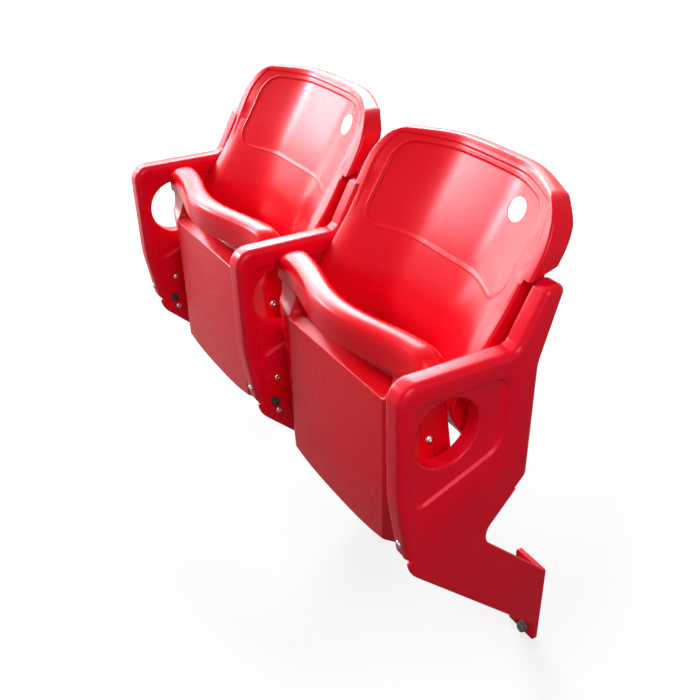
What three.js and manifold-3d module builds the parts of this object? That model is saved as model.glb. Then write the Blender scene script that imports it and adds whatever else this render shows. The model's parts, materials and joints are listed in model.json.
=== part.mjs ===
// A two-place tip-up stadium seat that bolts to the riser of a step.
// Millimetres, +Z up, +Y into the riser, -Y towards the sitter's knees.
// Origin: on the riser face of the middle standard's flange, at the middle of its height.
// A reach is a distance in front of the riser face, a height is above the flange's middle,
// and on a standard an out is a distance from its own middle plane.
import * as THREE from "three";
import { mergeVertices } from "three/addons/utils/BufferGeometryUtils.js";
import Module from "manifold-3d";

const wasm = await Module();
wasm.setup();

// Fits
const gap = 0.3;
const overrun = 20;
const weldSpan = 1e-4;
const flatness = 0.25;
const cornerRoomShare = 0.85;
const arcStep = THREE.MathUtils.degToRad(27);

// Row
const placeCount = 2;
const pitch = 500;

// Standard: body, arm and post
const standardWidth = 40;
const edgeRadius = 11;
const armHeight = 540;
const armReach = 312;
const armCornerRadius = 32;
const kneeShare = 0.403;
const kneeSetback = 6;
const kneeRadius = 260;
const heelHeight = 205;
const heelSetback = 30.5;
const heelRadius = 60;
const postReach = 112;
const postRise = 82;
const postSetback = 44;
const postTopDepth = 38;
const postTopRise = 12;
const postTopRadius = 12;
const armPostRadius = 18;
const spineReach = 68;
const spineBendDrop = 32;
const spineBendRadius = 80;
const spineFootShare = 0.3134;
const spineFootRadius = 20;
const bodyInset = 20;
const bodyLowRadius = 16;

// Standard: foot strut and riser flange
const footEndRise = 27.65;
const footWidth = 97;
const footPlate = 8;
const footEdgeRadius = 3;
const notchRadius = 30;
const notchAlong = 88;
const flangeHeight = 163;
const flangeWidth = 67;
const flangeThickness = 10;
const flangeCornerRadius = 5;
const flangeEdgeRadius = 1.5;
const ribThickness = 6;
const ribRootDepth = 10;
const ribTipDepth = 40;

// Standard: hand hole and the shallow field round it
const holeRadius = 56;
const holeInset = 87;
const holeDrop = 100.5;
const fieldDepth = 9;
const fieldSlope = 9;
const fieldFrontMargin = 27;
const fieldTopMargin = 34;
const fieldRearReach = 124;
const fieldRearShare = 0.5373;
const fieldLowShare = 0.3493;
const fieldRadius = 44;

// Anchor bolts
const anchorRadius = 5;
const anchorFlatRadius = 8.6;
const anchorHeadHeight = 6.4;
const anchorWasherRadius = 10.5;
const anchorWasherHeight = 2;
const anchorEdge = 12;
const anchorTopEdge = 27;
const anchorInset = 18;

// Pivot and hinge
const pivotInset = 105;
const pivotHeight = 256.5;
const pinRadius = 5;
const pinSeatDepth = 12;
const pinOut = 52;
const pinChamfer = 1;
const collarRadius = 10;
const hingePlate = 3;
const hingePlateMargin = 12;
const hingeScrewLead = 39;
const hingeScrewRise = 22;
const hingeScrewDrop = 51;
const armPlate = 4;
const armEyeRadius = 11.5;
const armTipRadius = 8.5;
const armTipRise = 146;
const armTipLead = 16;
const springWire = 2;
const springTurns = 3;
const springPitch = 3.6;
const springTurnSteps = 8;
const springPocketRadius = 10;
const springPocketDepth = 24;
const seatTravel = THREE.MathUtils.degToRad(80);
const stopRadius = 7;
const stopRound = 1.5;
const stopLap = 7;
const stopStemRadius = 3;
const upStopHeight = 330;
const downStopRun = 44;

// Screws
const screwRadius = 3;
const screwHeadRadius = 5.5;
const screwHeadHeight = 3.2;
const screwSeat = 10;
const flatHeadHeight = 1.9;
const boltHeadRadius = 6.5;
const boltHeadHeight = 3.5;
const boltLength = 16;
const frontScrewRadius = 4;
const frontScrewLength = 22;
const frontHeadRadius = 6.5;
const frontHeadHeight = 4;
const socketShare = 0.45;
const domeShare = 0.75;

// Seat shell
const seatSideGap = 10;
const lipDrop = 0.5;
const lipSideInset = 95;
const lipBow = 33;
const lipRadius = 24;
const lipSkirt = 53;
const lipEndRadius = 38;
const lipEndDrop = 24;
const pocketHeight = 44;
const pocketDepth = 36;
const pocketEndDepth = 6;
const pocketHalfWidth = 152;
const pocketFade = 12;
const panelInset = 53;
const panelHalf = 148;
const panelLean = 6;
const sideTopInset = 72;
const sideBottomInset = 91;
const seatBottomHeight = 150;
const seatBottomArc = 38;
const seatBottomRound = 13;
const seatEdgeRadius = 5;

// Back shell
const backRise = 193;
const backBottomDrop = 202;
const backHalfWidth = 237;
const backWaistHalf = 221;
const shoulderGap = 3;
const shoulderRun = 8;
const backTopArch = 7;
const backTopRadius = 76;
const backTopRun = 62;
const backBottomRadius = 60;
const backTopReach = -41;
const backLowInset = 194;
const rimProud = 5;
const rimFullInset = 126;
const backThickness = 30;
const backReturn = 44;
const backFlatShare = 0.3;
const rimRadius = 6;
const rimWidth = 19;
const rimTopWidth = 8;
const rimRise = 2;
const rimSlope = 3;
const fieldInset = 2;
const fieldBottomDrop = 160;
const fieldTopDrop = 20;
const fieldHalf = 188;
const fieldCorner = 34;
const plateHalfWidth = 25.5;
const plateHalfHeight = 19.5;
const plateThickness = 2;
const plateInset = 1.5;
const plateFit = 0.5;
const plateAcross = 111;
const plateDrop = 58;
const plateLean = THREE.MathUtils.degToRad(28);
const backScrewRise = 42;
const backScrewInset = 28;
const backBossRadius = 8;
const backWall = 6;
const backPocketWidth = 26;
const backPocketHalf = 14;
const backSkin = 9;

const heelReach = armReach - heelSetback;
const spineFootHeight = mix(heelHeight, armHeight, spineFootShare);
const holeReach = armReach - holeInset;
const holeHeight = armHeight - holeDrop;
const pivotReach = armReach - pivotInset;
const panelReach = armReach - panelInset;
const sideTopReach = armReach - sideTopInset;
const sideBottomReach = armReach - sideBottomInset;
const lipSideReach = armReach - lipSideInset;
const backLowReach = armReach - backLowInset;
const rimFullReach = armReach - rimFullInset;
const lipHeight = armHeight - lipDrop;
const backHeight = armHeight + backRise;
const backBottomHeight = armHeight - backBottomDrop;
const fieldBottom = backHeight - fieldBottomDrop;
const fieldTop = backHeight - fieldTopDrop;
const plateHeight = backHeight - plateDrop;
const backScrewHeight = armHeight + backScrewRise;

const faceOut = standardWidth / 2;
const seatHalf = pitch / 2 - faceOut - seatSideGap;
const stopOut = faceOut + seatSideGap + stopLap;
const plateOut = faceOut + gap + hingePlate;
const flangeLow = -flangeHeight / 2;
const flangeHigh = flangeHeight / 2;
const footSlope = Math.atan2(heelHeight - flangeLow - footEndRise, heelReach);

const red = { color: 0xc8102e, roughness: 0.25, metalness: 0 };
const steel = { color: 0xb9bcc2, roughness: 0.35, metalness: 1 };
const darkSteel = { color: 0x3a3d42, roughness: 0.5, metalness: 1 };
const rubber = { color: 0x17181a, roughness: 0.85, metalness: 0 };
const white = { color: 0xf4eef0, roughness: 0.4, metalness: 0 };

const group = new THREE.Group();

// Solids and meshes

function solidOf(geometry) {
  const bare = geometry.clone();
  bare.deleteAttribute("normal");
  bare.deleteAttribute("uv");
  const merged = mergeVertices(bare, weldSpan);
  return new wasm.Manifold(
    new wasm.Mesh({
      numProp: 3,
      vertProperties: new Float32Array(merged.attributes.position.array),
      triVerts: new Uint32Array(merged.index.array),
    }),
  );
}

function geometryOf(solid) {
  const mesh = solid.getMesh();
  const geometry = new THREE.BufferGeometry();
  const places = new Float32Array(mesh.vertProperties);
  geometry.setAttribute("position", new THREE.BufferAttribute(places, 3));
  geometry.setIndex(new THREE.BufferAttribute(new Uint32Array(mesh.triVerts), 1));
  geometry.computeVertexNormals();
  return geometry;
}

function addMesh(name, shape, look) {
  const geometry = shape.isBufferGeometry ? shape : geometryOf(shape);
  const mesh = new THREE.Mesh(geometry, new THREE.MeshStandardMaterial(look));
  mesh.name = name;
  group.add(mesh);
  return mesh;
}

function union(solids) {
  return solids.reduce((sum, next) => sum.add(next));
}

// Axes of a shape's own x, y and thickness in the part's frame, with a place for its origin.
function placed(geometry, xAxis, yAxis, zAxis, origin) {
  const frame = new THREE.Matrix4().makeBasis(xAxis, yAxis, zAxis);
  return geometry.applyMatrix4(frame.setPosition(origin));
}

const axisX = new THREE.Vector3(1, 0, 0);
const axisY = new THREE.Vector3(0, 1, 0);
const axisZ = new THREE.Vector3(0, 0, 1);

// A closed outline from corners [x, y, radius], each rounded by an arc.
function roundedShape(corners) {
  const turns = corners.map(([x, y, radius], i) => {
    const here = new THREE.Vector2(x, y);
    const before = new THREE.Vector2(...corners.at(i - 1)).sub(here);
    const after = new THREE.Vector2(...corners[(i + 1) % corners.length]).sub(here);
    const half = Math.acos(before.dot(after) / before.length() / after.length()) / 2;
    return { here, before, after, half, wish: radius / Math.tan(half) };
  });
  const points = turns.flatMap((turn, i) => {
    const inward = roomAt(turn.before.length(), turn, turns.at(i - 1));
    const outward = roomAt(turn.after.length(), turn, turns[(i + 1) % turns.length]);
    return turn.wish > 0 ? arcPoints(turn, Math.min(inward, outward)) : [turn.here];
  });
  return new THREE.Shape(points);
}

// What a corner's arc may take of an edge that its neighbour's arc also needs.
function roomAt(edge, turn, neighbour) {
  const room = edge * cornerRoomShare;
  const wanted = turn.wish + neighbour.wish;
  return wanted > room ? (room * turn.wish) / wanted : turn.wish;
}

function arcPoints({ here: corner, before, after, half }, reach) {
  const toCentre = before.clone().normalize().add(after.clone().normalize());
  const centre = toCentre.setLength(reach / Math.cos(half)).add(corner);
  const from = before.clone().setLength(reach).add(corner).sub(centre);
  const to = after.clone().setLength(reach).add(corner).sub(centre);
  const sweep = Math.atan2(from.cross(to), from.dot(to));
  const steps = Math.ceil(Math.abs(sweep) / arcStep);
  return Array.from({ length: steps + 1 }, (_, i) =>
    from.clone().rotateAround(new THREE.Vector2(), (sweep * i) / steps).add(centre),
  );
}

// A slab of the given thickness with rounded edges, its outline in x and y and its middle at z = 0.
function slab(shape, thickness, edge, segments = 4) {
  const geometry = new THREE.ExtrudeGeometry(shape, {
    depth: thickness - 2 * edge,
    bevelEnabled: edge > 0,
    bevelThickness: edge,
    bevelSize: edge,
    bevelOffset: -edge,
    bevelSegments: segments,
  });
  return geometry.translate(0, 0, edge - thickness / 2);
}

// A slab whose outline is in Y and Z, from low to high along X.
function slabX(shape, low, high, edge, segments) {
  const geometry = slab(shape, high - low, edge, segments);
  const origin = new THREE.Vector3((low + high) / 2, 0, 0);
  return placed(geometry, axisY, axisZ, axisX, origin);
}

// A rod of stacked radii [[place, radius], ...] turned about an axis through a point.
function turned(profile, axis, origin, sides = 24) {
  const points = profile.map(([place, radius]) => new THREE.Vector2(radius, place));
  const geometry = new THREE.LatheGeometry(points, sides);
  const turn = new THREE.Quaternion().setFromUnitVectors(axisY, axis);
  geometry.applyQuaternion(turn);
  return geometry.translate(origin.x, origin.y, origin.z);
}

function rod(radius, from, to, sides = 24) {
  const axis = to.clone().sub(from);
  const length = axis.length();
  const profile = [
    [0, 0],
    [0, radius],
    [length, radius],
    [length, 0],
  ];
  return turned(profile, axis.normalize(), from, sides);
}

// A screw that points along an axis, its head's underside at the origin.
function screw(head, headHeight, shank, length, axis, origin, sides = 6) {
  const profile = [
    [-headHeight, 0],
    [-headHeight, head * domeShare],
    [-headHeight / 3, head],
    [0, head],
    [0, shank],
    [length, shank],
    [length, 0],
  ];
  return turned(profile, axis, origin, sides);
}

// A screw whose head has a round socket.
function socketScrew(head, headHeight, shank, length, axis, origin) {
  const whole = solidOf(screw(head, headHeight, shank, length, axis, origin, 8));
  const mouth = origin.clone().addScaledVector(axis, -2 * headHeight);
  const floor = origin.clone().addScaledVector(axis, -headHeight / 2);
  return whole.subtract(solidOf(rod(head * socketShare, mouth, floor, 6)));
}

// A closed solid from rings of equal count, each end closed by a fan.
function loft(rings) {
  const count = rings[0].length;
  const places = rings.flat().flatMap((p) => [p.x, p.y, p.z]);
  const index = [];
  for (let r = 0; r + 1 < rings.length; r += 1) {
    for (let i = 0; i < count; i += 1) {
      const a = r * count + i;
      const b = r * count + ((i + 1) % count);
      index.push(a, b, b + count, a, b + count, a + count);
    }
  }
  [0, rings.length - 1].forEach((r) => {
    const middle = places.length / 3;
    const centre = rings[r].reduce((sum, p) => sum.add(p), new THREE.Vector3());
    centre.divideScalar(count);
    places.push(centre.x, centre.y, centre.z);
    for (let i = 0; i < count; i += 1) {
      const a = r * count + i;
      const b = r * count + ((i + 1) % count);
      index.push(...(r === 0 ? [middle, b, a] : [middle, a, b]));
    }
  });
  const geometry = new THREE.BufferGeometry();
  geometry.setAttribute("position", new THREE.Float32BufferAttribute(places, 3));
  geometry.setIndex(index);
  return geometry;
}

function mix(a, b, share) {
  return a + (b - a) * share;
}

function smooth(share) {
  const s = THREE.MathUtils.clamp(share, 0, 1);
  return s * s * (3 - 2 * s);
}

// A smooth curve of value against height through points [height, value].
function curveAt(points, height) {
  const last = points.length - 2;
  const found = points.findIndex((p, i) => i <= last && height < points[i + 1][0]);
  const i = found < 0 ? last : found;
  const at = (k) => points[THREE.MathUtils.clamp(k, 0, last + 1)];
  const slope = (k) => (at(k + 1)[1] - at(k - 1)[1]) / (at(k + 1)[0] - at(k - 1)[0]);
  const span = at(i + 1)[0] - at(i)[0];
  const t = THREE.MathUtils.clamp((height - at(i)[0]) / span, 0, 1);
  const rise = at(i + 1)[1] - at(i)[1];
  const [leave, arrive] = [slope(i) * span - rise, slope(i + 1) * span - rise];
  return mix(at(i)[1], at(i + 1)[1], t) + t * (1 - t) * ((1 - t) * leave - t * arrive);
}

// Standard

// A place on the strut: along from the heel down to the riser, and across towards its top edge.
function onFoot(along, across) {
  const y = -heelReach + along * Math.cos(footSlope) + across * Math.sin(footSlope);
  const z = heelHeight - along * Math.sin(footSlope) + across * Math.cos(footSlope);
  return [y, z];
}

function footAtRiser(across) {
  const along = (heelReach - across * Math.sin(footSlope)) / Math.cos(footSlope);
  return onFoot(along, across);
}

const kneeReach = armReach - kneeSetback;
const kneeHeight = mix(heelHeight, armHeight, kneeShare);

// The front edge under the knee, at a height.
function frontReach(height) {
  return mix(heelReach, kneeReach, (height - heelHeight) / (kneeHeight - heelHeight));
}

function bodyShape() {
  const notch = onFoot(notchAlong, footWidth);
  const chinHeight = heelHeight + bodyInset / Math.cos(footSlope);
  const postTopY = -postReach + postSetback;
  return roundedShape([
    [-armReach, armHeight, armCornerRadius],
    [-kneeReach, kneeHeight, kneeRadius],
    [-frontReach(chinHeight), chinHeight, bodyLowRadius],
    [...onFoot(notchAlong, bodyInset), bodyLowRadius],
    [...notch, 0],
    [-spineReach, spineFootHeight, spineFootRadius],
    [-spineReach, armHeight - spineBendDrop, spineBendRadius],
    [postTopY + postTopDepth, armHeight + postRise + postTopRise, postTopRadius],
    [postTopY, armHeight + postRise, postTopRadius],
    [-postReach, armHeight, armPostRadius],
  ]);
}

function footShape() {
  const chinHeight = heelHeight + bodyInset;
  return roundedShape([
    [-frontReach(chinHeight), chinHeight, 0],
    [-heelReach, heelHeight, heelRadius],
    [...footAtRiser(0), 0],
    [...footAtRiser(footWidth), 0],
    [...onFoot(notchAlong, footWidth), notchRadius],
    [-spineReach - spineFootRadius, spineFootHeight - spineFootRadius, 0],
    [-heelReach + bodyInset, heelHeight + 2 * bodyInset, 0],
  ]);
}

function flangeSolid() {
  const high = faceOut;
  const low = faceOut - flangeWidth;
  const shape = roundedShape([
    [low, flangeLow, flangeCornerRadius],
    [high, flangeLow, flangeCornerRadius],
    [high, flangeHigh, flangeCornerRadius],
    [low, flangeHigh, flangeCornerRadius],
  ]);
  const geometry = slab(shape, flangeThickness, flangeEdgeRadius, 1);
  const origin = new THREE.Vector3(0, -flangeThickness / 2, 0);
  return solidOf(placed(geometry, axisX, axisZ, axisY.clone().negate(), origin));
}

// The rib on the strut's inner side, deepest where it meets the flange.
function ribSolid() {
  const start = onFoot(notchAlong - bodyInset, footWidth / 2);
  const end = footAtRiser(footWidth / 2);
  const length = Math.hypot(end[0] - start[0], end[1] - start[1]) - flangeThickness;
  const root = faceOut - footPlate / 2;
  const shape = roundedShape([
    [0, root, 0],
    [0, root - ribRootDepth, 0],
    [length, root - ribTipDepth, 0],
    [length, root, 0],
  ]);
  const along = new THREE.Vector3(0, Math.cos(footSlope), -Math.sin(footSlope));
  const across = new THREE.Vector3().crossVectors(along, axisX);
  const origin = new THREE.Vector3(0, start[0], start[1]);
  return solidOf(placed(slab(shape, ribThickness, 0), along, axisX, across, origin));
}

// The field round the hand hole is sunk into both faces, with a sloping wall.
function fieldCutter(side) {
  const front = (height) => -frontReach(height) + fieldFrontMargin;
  const top = armHeight - fieldTopMargin;
  const low = mix(heelHeight, armHeight, fieldLowShare);
  const rear = mix(heelHeight, armHeight, fieldRearShare);
  const shape = roundedShape([
    [-armReach + fieldFrontMargin, top, fieldRadius / 2],
    [-kneeReach + fieldFrontMargin, kneeHeight, 0],
    [front(low), low, fieldRadius / 3],
    [-fieldRearReach, rear, fieldRadius],
    [-fieldRearReach, top, fieldRadius / 2],
  ]);
  const out = side * (faceOut + fieldSlope - fieldDepth);
  return solidOf(slabX(shape, out - fieldSlope, out + fieldSlope, fieldSlope, 1));
}

function holeCutter() {
  const web = faceOut - fieldDepth;
  const flare = web / 3;
  const profile = [
    [-faceOut, 0],
    [-faceOut, holeRadius + flare],
    [-web, holeRadius + flare],
    [-web + flare, holeRadius],
    [web - flare, holeRadius],
    [web, holeRadius + flare],
    [faceOut, holeRadius + flare],
    [faceOut, 0],
  ];
  const origin = new THREE.Vector3(0, -holeReach, holeHeight);
  return solidOf(turned(profile, axisX, origin, 28));
}

const anchorX = faceOut - footPlate - anchorInset;
const anchorPlaces = [
  ["lower", flangeLow + anchorEdge],
  ["upper", flangeHigh - anchorTopEdge],
];

// The standard's front face at the pivot's height, and the way into it.
const frontPoint = new THREE.Vector3(0, -frontReach(pivotHeight), pivotHeight);
const frontInward = new THREE.Vector3(0, kneeHeight - heelHeight, kneeReach - heelReach).normalize();

// The back screw's place on the post, at its height.
const backScrewShare = (backScrewHeight - armHeight) / postRise;
const backScrewY = -postReach + postSetback * backScrewShare + backScrewInset;

function standardSolid(sides) {
  const body = solidOf(slabX(bodyShape(), -faceOut, faceOut, edgeRadius, 2));
  const plate = solidOf(slabX(footShape(), faceOut - footPlate, faceOut, footEdgeRadius, 1));
  const cuts = [fieldCutter(1), fieldCutter(-1), holeCutter()];
  anchorPlaces.forEach(([, height]) => {
    const from = new THREE.Vector3(anchorX, -flangeThickness - overrun, height);
    const to = new THREE.Vector3(anchorX, overrun, height);
    cuts.push(solidOf(rod(anchorRadius + gap, from, to, 8)));
  });
  const mouth = frontPoint.clone().addScaledVector(frontInward, -overrun);
  const end = frontPoint.clone().addScaledVector(frontInward, frontScrewLength + gap);
  cuts.push(solidOf(rod(frontScrewRadius + gap, mouth, end, 12)));
  sides.forEach((side) => cuts.push(...sideHoles({ x: 0, side })));
  const whole = union([body, plate, flangeSolid(), ribSolid()]);
  return cuts.reduce((rest, cut) => rest.subtract(cut), whole).simplify(flatness);
}

// A spot is one side of a standard, { x, side }: out from its middle plane, then Y and Z.
function at(spot, out, y, z) {
  return new THREE.Vector3(spot.x + spot.side * out, y, z);
}

function bore(spot, radius, near, far, y, z, sides = 6) {
  const clear = (radius + gap) / Math.cos(Math.PI / sides);
  return solidOf(rod(clear, at(spot, near, y, z), at(spot, far, y, z), sides));
}

// A turned piece whose profile's places are outs.
function turnedOut(spot, profile, y, z, sides = 8) {
  return turned(profile, axisX.clone().multiplyScalar(spot.side), at(spot, 0, y, z), sides);
}

// A slab between two outs, its outline in Y and Z.
function slabOut(spot, shape, near, far, edge = 0) {
  const ends = [spot.x + spot.side * near, spot.x + spot.side * far];
  return solidOf(slabX(shape, Math.min(...ends), Math.max(...ends), edge, 1));
}

const hingeScrews = [
  ["upper", -pivotReach - hingeScrewLead, pivotHeight + hingeScrewRise],
  ["lower", -pivotReach - hingeScrewLead, pivotHeight - hingeScrewDrop],
];

// Blind holes in a standard's face for the pin, the hinge plate's screws, the stops and the back's screw.
function sideHoles(spot) {
  const blind = (radius, depth, y, z) =>
    bore(spot, radius, faceOut - depth - gap, faceOut + overrun, y, z);
  return [
    blind(pinRadius, pinSeatDepth, -pivotReach, pivotHeight),
    ...hingeScrews.map(([, y, z]) => blind(screwRadius, screwSeat, y, z)),
    blind(stopStemRadius, screwSeat, upStopY, upStopHeight),
    blind(stopStemRadius, screwSeat, ...downStop),
    blind(screwRadius, screwSeat, backScrewY, backScrewHeight),
  ];
}

// Seat shell. It stands tipped up: its underside faces the front and its lip is at the top.

const seatLowHeight = seatBottomHeight + seatBottomArc;
const ledgeHeight = lipHeight - lipSkirt - pocketHeight;

// The sitting side at its middle and at its sides, as [height, reach].
const sitHeights = [
  seatBottomHeight,
  pivotHeight,
  (pivotHeight + ledgeHeight) / 2,
  ledgeHeight,
  lipHeight - lipRadius,
];
const sitMiddleShares = [0.772, 0.792, 0.807, 0.822, 0.826];
const sitSideShares = [0.747, 0.774, 0.82, 0.876, 0.889];
const sitMiddle = sitHeights.map((height, i) => [height, panelReach * sitMiddleShares[i]]);
const sitSide = sitHeights.map((height, i) => [height, lipSideReach * sitSideShares[i]]);

function lipReach(across) {
  const share = Math.min(Math.abs(across) / (seatHalf - lipRadius), 1);
  return lipSideReach + (lipBow * (1 + Math.cos(Math.PI * share))) / 2;
}

// The lip's top, which rounds down at its two ends.
function lipTopAt(across) {
  const share = Math.max(0, (Math.abs(across) - seatHalf + lipEndRadius) / lipEndRadius);
  return lipHeight - lipEndDrop * (1 - Math.sqrt(1 - share ** 2));
}

function seatBottomAt(across) {
  return seatBottomHeight + seatBottomArc * Math.abs(across / seatHalf) ** 3;
}

// How far the underside stands in front of the riser: a flat panel between two chamfered sides.
function underReach(across, height) {
  const share = THREE.MathUtils.clamp((ledgeHeight - height) / (ledgeHeight - seatLowHeight), 0, 1);
  const flat = panelReach - panelLean * share;
  const edge = mix(sideTopReach, sideBottomReach, share);
  const chamfer = Math.max(0, (Math.abs(across) - panelHalf) / (seatHalf - panelHalf));
  return mix(flat, edge, chamfer);
}

// How far the sitting side stands in front of the riser, with the lip curving over its top.
function sitReach(across, height) {
  const side = smooth(Math.abs(across) / seatHalf);
  const seat = mix(curveAt(sitMiddle, height), curveAt(sitSide, height), side);
  const top = lipReach(across) - lipRadius;
  return mix(top, seat, smooth((lipHeight - lipRadius - height) / (2 * lipSkirt)));
}

// The front of the lip, the finger pocket under it, the ledge and the underside.
function seatFrontReach(across, height) {
  const lip = lipReach(across) + lipRadius;
  const lipFoot = lipHeight - lipSkirt;
  if (height > lipFoot) return lip;
  if (height < ledgeHeight) return underReach(across, height);
  const inPocket = smooth((pocketHalfWidth - Math.abs(across)) / pocketFade);
  const share = (lipFoot - height) / pocketHeight;
  return mix(lip, underReach(across, ledgeHeight), share) - mix(pocketEndDepth, pocketDepth, inPocket);
}

function edgeInset(inset, radius) {
  return inset >= radius ? 0 : radius - Math.sqrt(radius ** 2 - (radius - inset) ** 2);
}

// One ring of the seat: along the underside, then back along the sitting side.
function seatRing(heightAt, squeeze) {
  const point = (across, side) => {
    const height = heightAt(across);
    const reach = seatFrontReach(across, height);
    const sit = sitReach(across, height);
    const half = ((reach - sit) / 2 - edgeInset(seatHalf - Math.abs(across), seatEdgeRadius)) * squeeze;
    return new THREE.Vector3(across, -(reach + sit) / 2 - side * half, height);
  };
  const acrosses = seatAcrosses();
  const front = acrosses.map((across) => point(across, 1));
  return [...front, ...acrosses.reverse().map((across) => point(across, -1))];
}

// Both halves of a row of places, from shares of its half width and insets from its end.
function mirrored(half, shares, insets) {
  const right = [...shares.map((share) => share * half), ...insets.map((inset) => half - inset)];
  return [...right.slice(1).map((place) => -place).reverse(), ...right];
}

function seatAcrosses() {
  const pocket = [pocketHalfWidth - pocketFade, pocketHalfWidth].map((place) => place / seatHalf);
  const shares = [0, 0.2, 0.4, ...pocket, 0.8, 0.91];
  return mirrored(seatHalf, shares, [seatEdgeRadius, seatEdgeRadius / 3, 0]);
}

function seatSolid() {
  const lipFoot = lipHeight - lipSkirt;
  const roundShares = [0.3, 1];
  const underShares = [0.3, 0.65, 1];
  const pocketShares = [0.3, 0.9];
  const crestShares = [1, 0.86, 0.45];
  const low = (across) => seatBottomAt(across) + seatBottomRound;
  const rings = [
    ...roundShares.map((share) =>
      seatRing((across) => low(across) - seatBottomRound * Math.sqrt(1 - share ** 2), share),
    ),
    ...underShares.map((share) => seatRing((across) => mix(low(across), ledgeHeight - gap, share), 1)),
    ...pocketShares.map((share) => seatRing(() => mix(ledgeHeight, lipFoot, share), 1)),
    seatRing(() => lipFoot + gap, 1),
    ...crestShares.map((share) =>
      seatRing((across) => lipTopAt(across) + lipRadius * (Math.sqrt(1 - share ** 2) - 1), share),
    ),
  ];
  return solidOf(loft(rings));
}

// The outline of a hinge arm: an eye and a tip joined by straight sides.
function armShape(grow) {
  const eye = new THREE.Vector2(-pivotReach, pivotHeight);
  const tip = new THREE.Vector2(-pivotReach - armTipLead, pivotHeight + armTipRise);
  const along = tip.clone().sub(eye);
  const turn = Math.acos((armEyeRadius - armTipRadius) / along.length());
  const shape = new THREE.Shape();
  shape.absarc(tip.x, tip.y, armTipRadius + grow, along.angle() - turn, along.angle() + turn, false);
  shape.absarc(eye.x, eye.y, armEyeRadius + grow, along.angle() + turn, along.angle() - turn, false);
  return new THREE.Shape(shape.getPoints(3).slice(0, -1));
}

const armTip = [-pivotReach - armTipLead, pivotHeight + armTipRise];
const armIn = faceOut + seatSideGap;
const armOut = armIn + armPlate;

// Cut into one end of a seat: the arm's recess, its bolt's hole and the pocket of pin and spring.
function seatCuts(spot) {
  const floor = armOut + gap;
  const mouth = at(spot, faceOut, ...pivot);
  const end = at(spot, floor + springPocketDepth, ...pivot);
  return [
    slabOut(spot, armShape(gap), faceOut, floor),
    bore(spot, screwRadius, faceOut, armIn + boltLength + gap, ...armTip),
    solidOf(rod(springPocketRadius, mouth, end, 16)),
  ];
}

// Stops

const pivot = [-pivotReach, pivotHeight];
const upStopY = -sitReach(seatHalf - stopLap, upStopHeight) + stopRadius + 2 * gap;
const downStop = downStopPlace();

// Where the underside's edge comes to rest after the seat's travel.
function downStopPlace() {
  const place = new THREE.Vector2(pivotReach, pivotHeight);
  const edge = (run) => {
    const height = pivotHeight + run;
    return new THREE.Vector2(underReach(seatHalf - stopLap, height), height);
  };
  const slope = edge(downStopRun).sub(edge(0));
  const outward = new THREE.Vector2(slope.y, -slope.x).setLength(stopRadius + gap);
  const centre = edge(downStopRun).add(outward).rotateAround(place, -seatTravel);
  return [-centre.x, centre.y];
}

function stop(spot, near, y, z) {
  const profile = [
    [faceOut - screwSeat, 0],
    [faceOut - screwSeat, stopStemRadius],
    [near, stopStemRadius],
    [near, stopRadius],
    [stopOut - stopRound, stopRadius],
    [stopOut, stopRadius - stopRound],
    [stopOut, 0],
  ];
  return turnedOut(spot, profile, y, z);
}

// Hinge

function hingePlateSolid(spot) {
  const front = downStop[0] - hingePlateMargin;
  const rear = -pivotReach + hingePlateMargin;
  const low = pivotHeight - hingeScrewDrop - hingePlateMargin;
  const high = pivotHeight + hingeScrewRise + hingePlateMargin;
  const shape = roundedShape([
    [front, low, hingePlateMargin],
    [rear, low, hingePlateMargin],
    [rear, high, hingePlateMargin],
    [front, high, hingePlateMargin],
  ]);
  const holes = [
    bore(spot, pinRadius, 0, armOut, ...pivot),
    bore(spot, stopStemRadius, 0, armOut, ...downStop),
    ...hingeScrews.map(([, y, z]) => bore(spot, screwRadius, 0, armOut, y, z)),
  ];
  const plate = slabOut(spot, shape, faceOut + gap, plateOut);
  return holes.reduce((rest, hole) => rest.subtract(hole), plate);
}

// The pin is fixed in the standard. Its collar keeps the arm off the plate.
function pivotPin(spot) {
  const profile = [
    [faceOut - pinSeatDepth, 0],
    [faceOut - pinSeatDepth, pinRadius],
    [plateOut + gap, pinRadius],
    [plateOut + gap, collarRadius],
    [armIn - gap, collarRadius],
    [armIn - gap, pinRadius],
    [pinOut - pinChamfer, pinRadius],
    [pinOut, pinRadius - pinChamfer],
    [pinOut, 0],
  ];
  return turnedOut(spot, profile, ...pivot);
}

function hingeArm(spot) {
  return slabOut(spot, armShape(0), armIn, armOut)
    .subtract(bore(spot, pinRadius, 0, armOut + overrun, ...pivot))
    .subtract(bore(spot, screwRadius, 0, armOut + overrun, ...armTip));
}

// The spring that tips the seat up is wound round the pin, in the seat's pocket.
function torsionSpring(spot) {
  const radius = springPocketRadius - springWire / 2 - gap;
  const start = armOut + gap + springWire;
  const coil = new THREE.Curve();
  coil.getPoint = (share, target = new THREE.Vector3()) => {
    const angle = 2 * Math.PI * springTurns * share;
    const out = start + springPitch * springTurns * share;
    const [y, z] = [pivot[0] + radius * Math.cos(angle), pivot[1] + radius * Math.sin(angle)];
    return target.copy(at(spot, out, y, z));
  };
  const wire = new THREE.Shape().absarc(0, 0, springWire / 2, 0, 2 * Math.PI);
  return new THREE.ExtrudeGeometry(new THREE.Shape(wire.getPoints(3).slice(0, -1)), {
    steps: springTurns * springTurnSteps,
    extrudePath: coil,
    bevelEnabled: false,
  });
}

// Back shell

const shoulderHeight = armHeight + postRise - shoulderRun;

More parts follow.
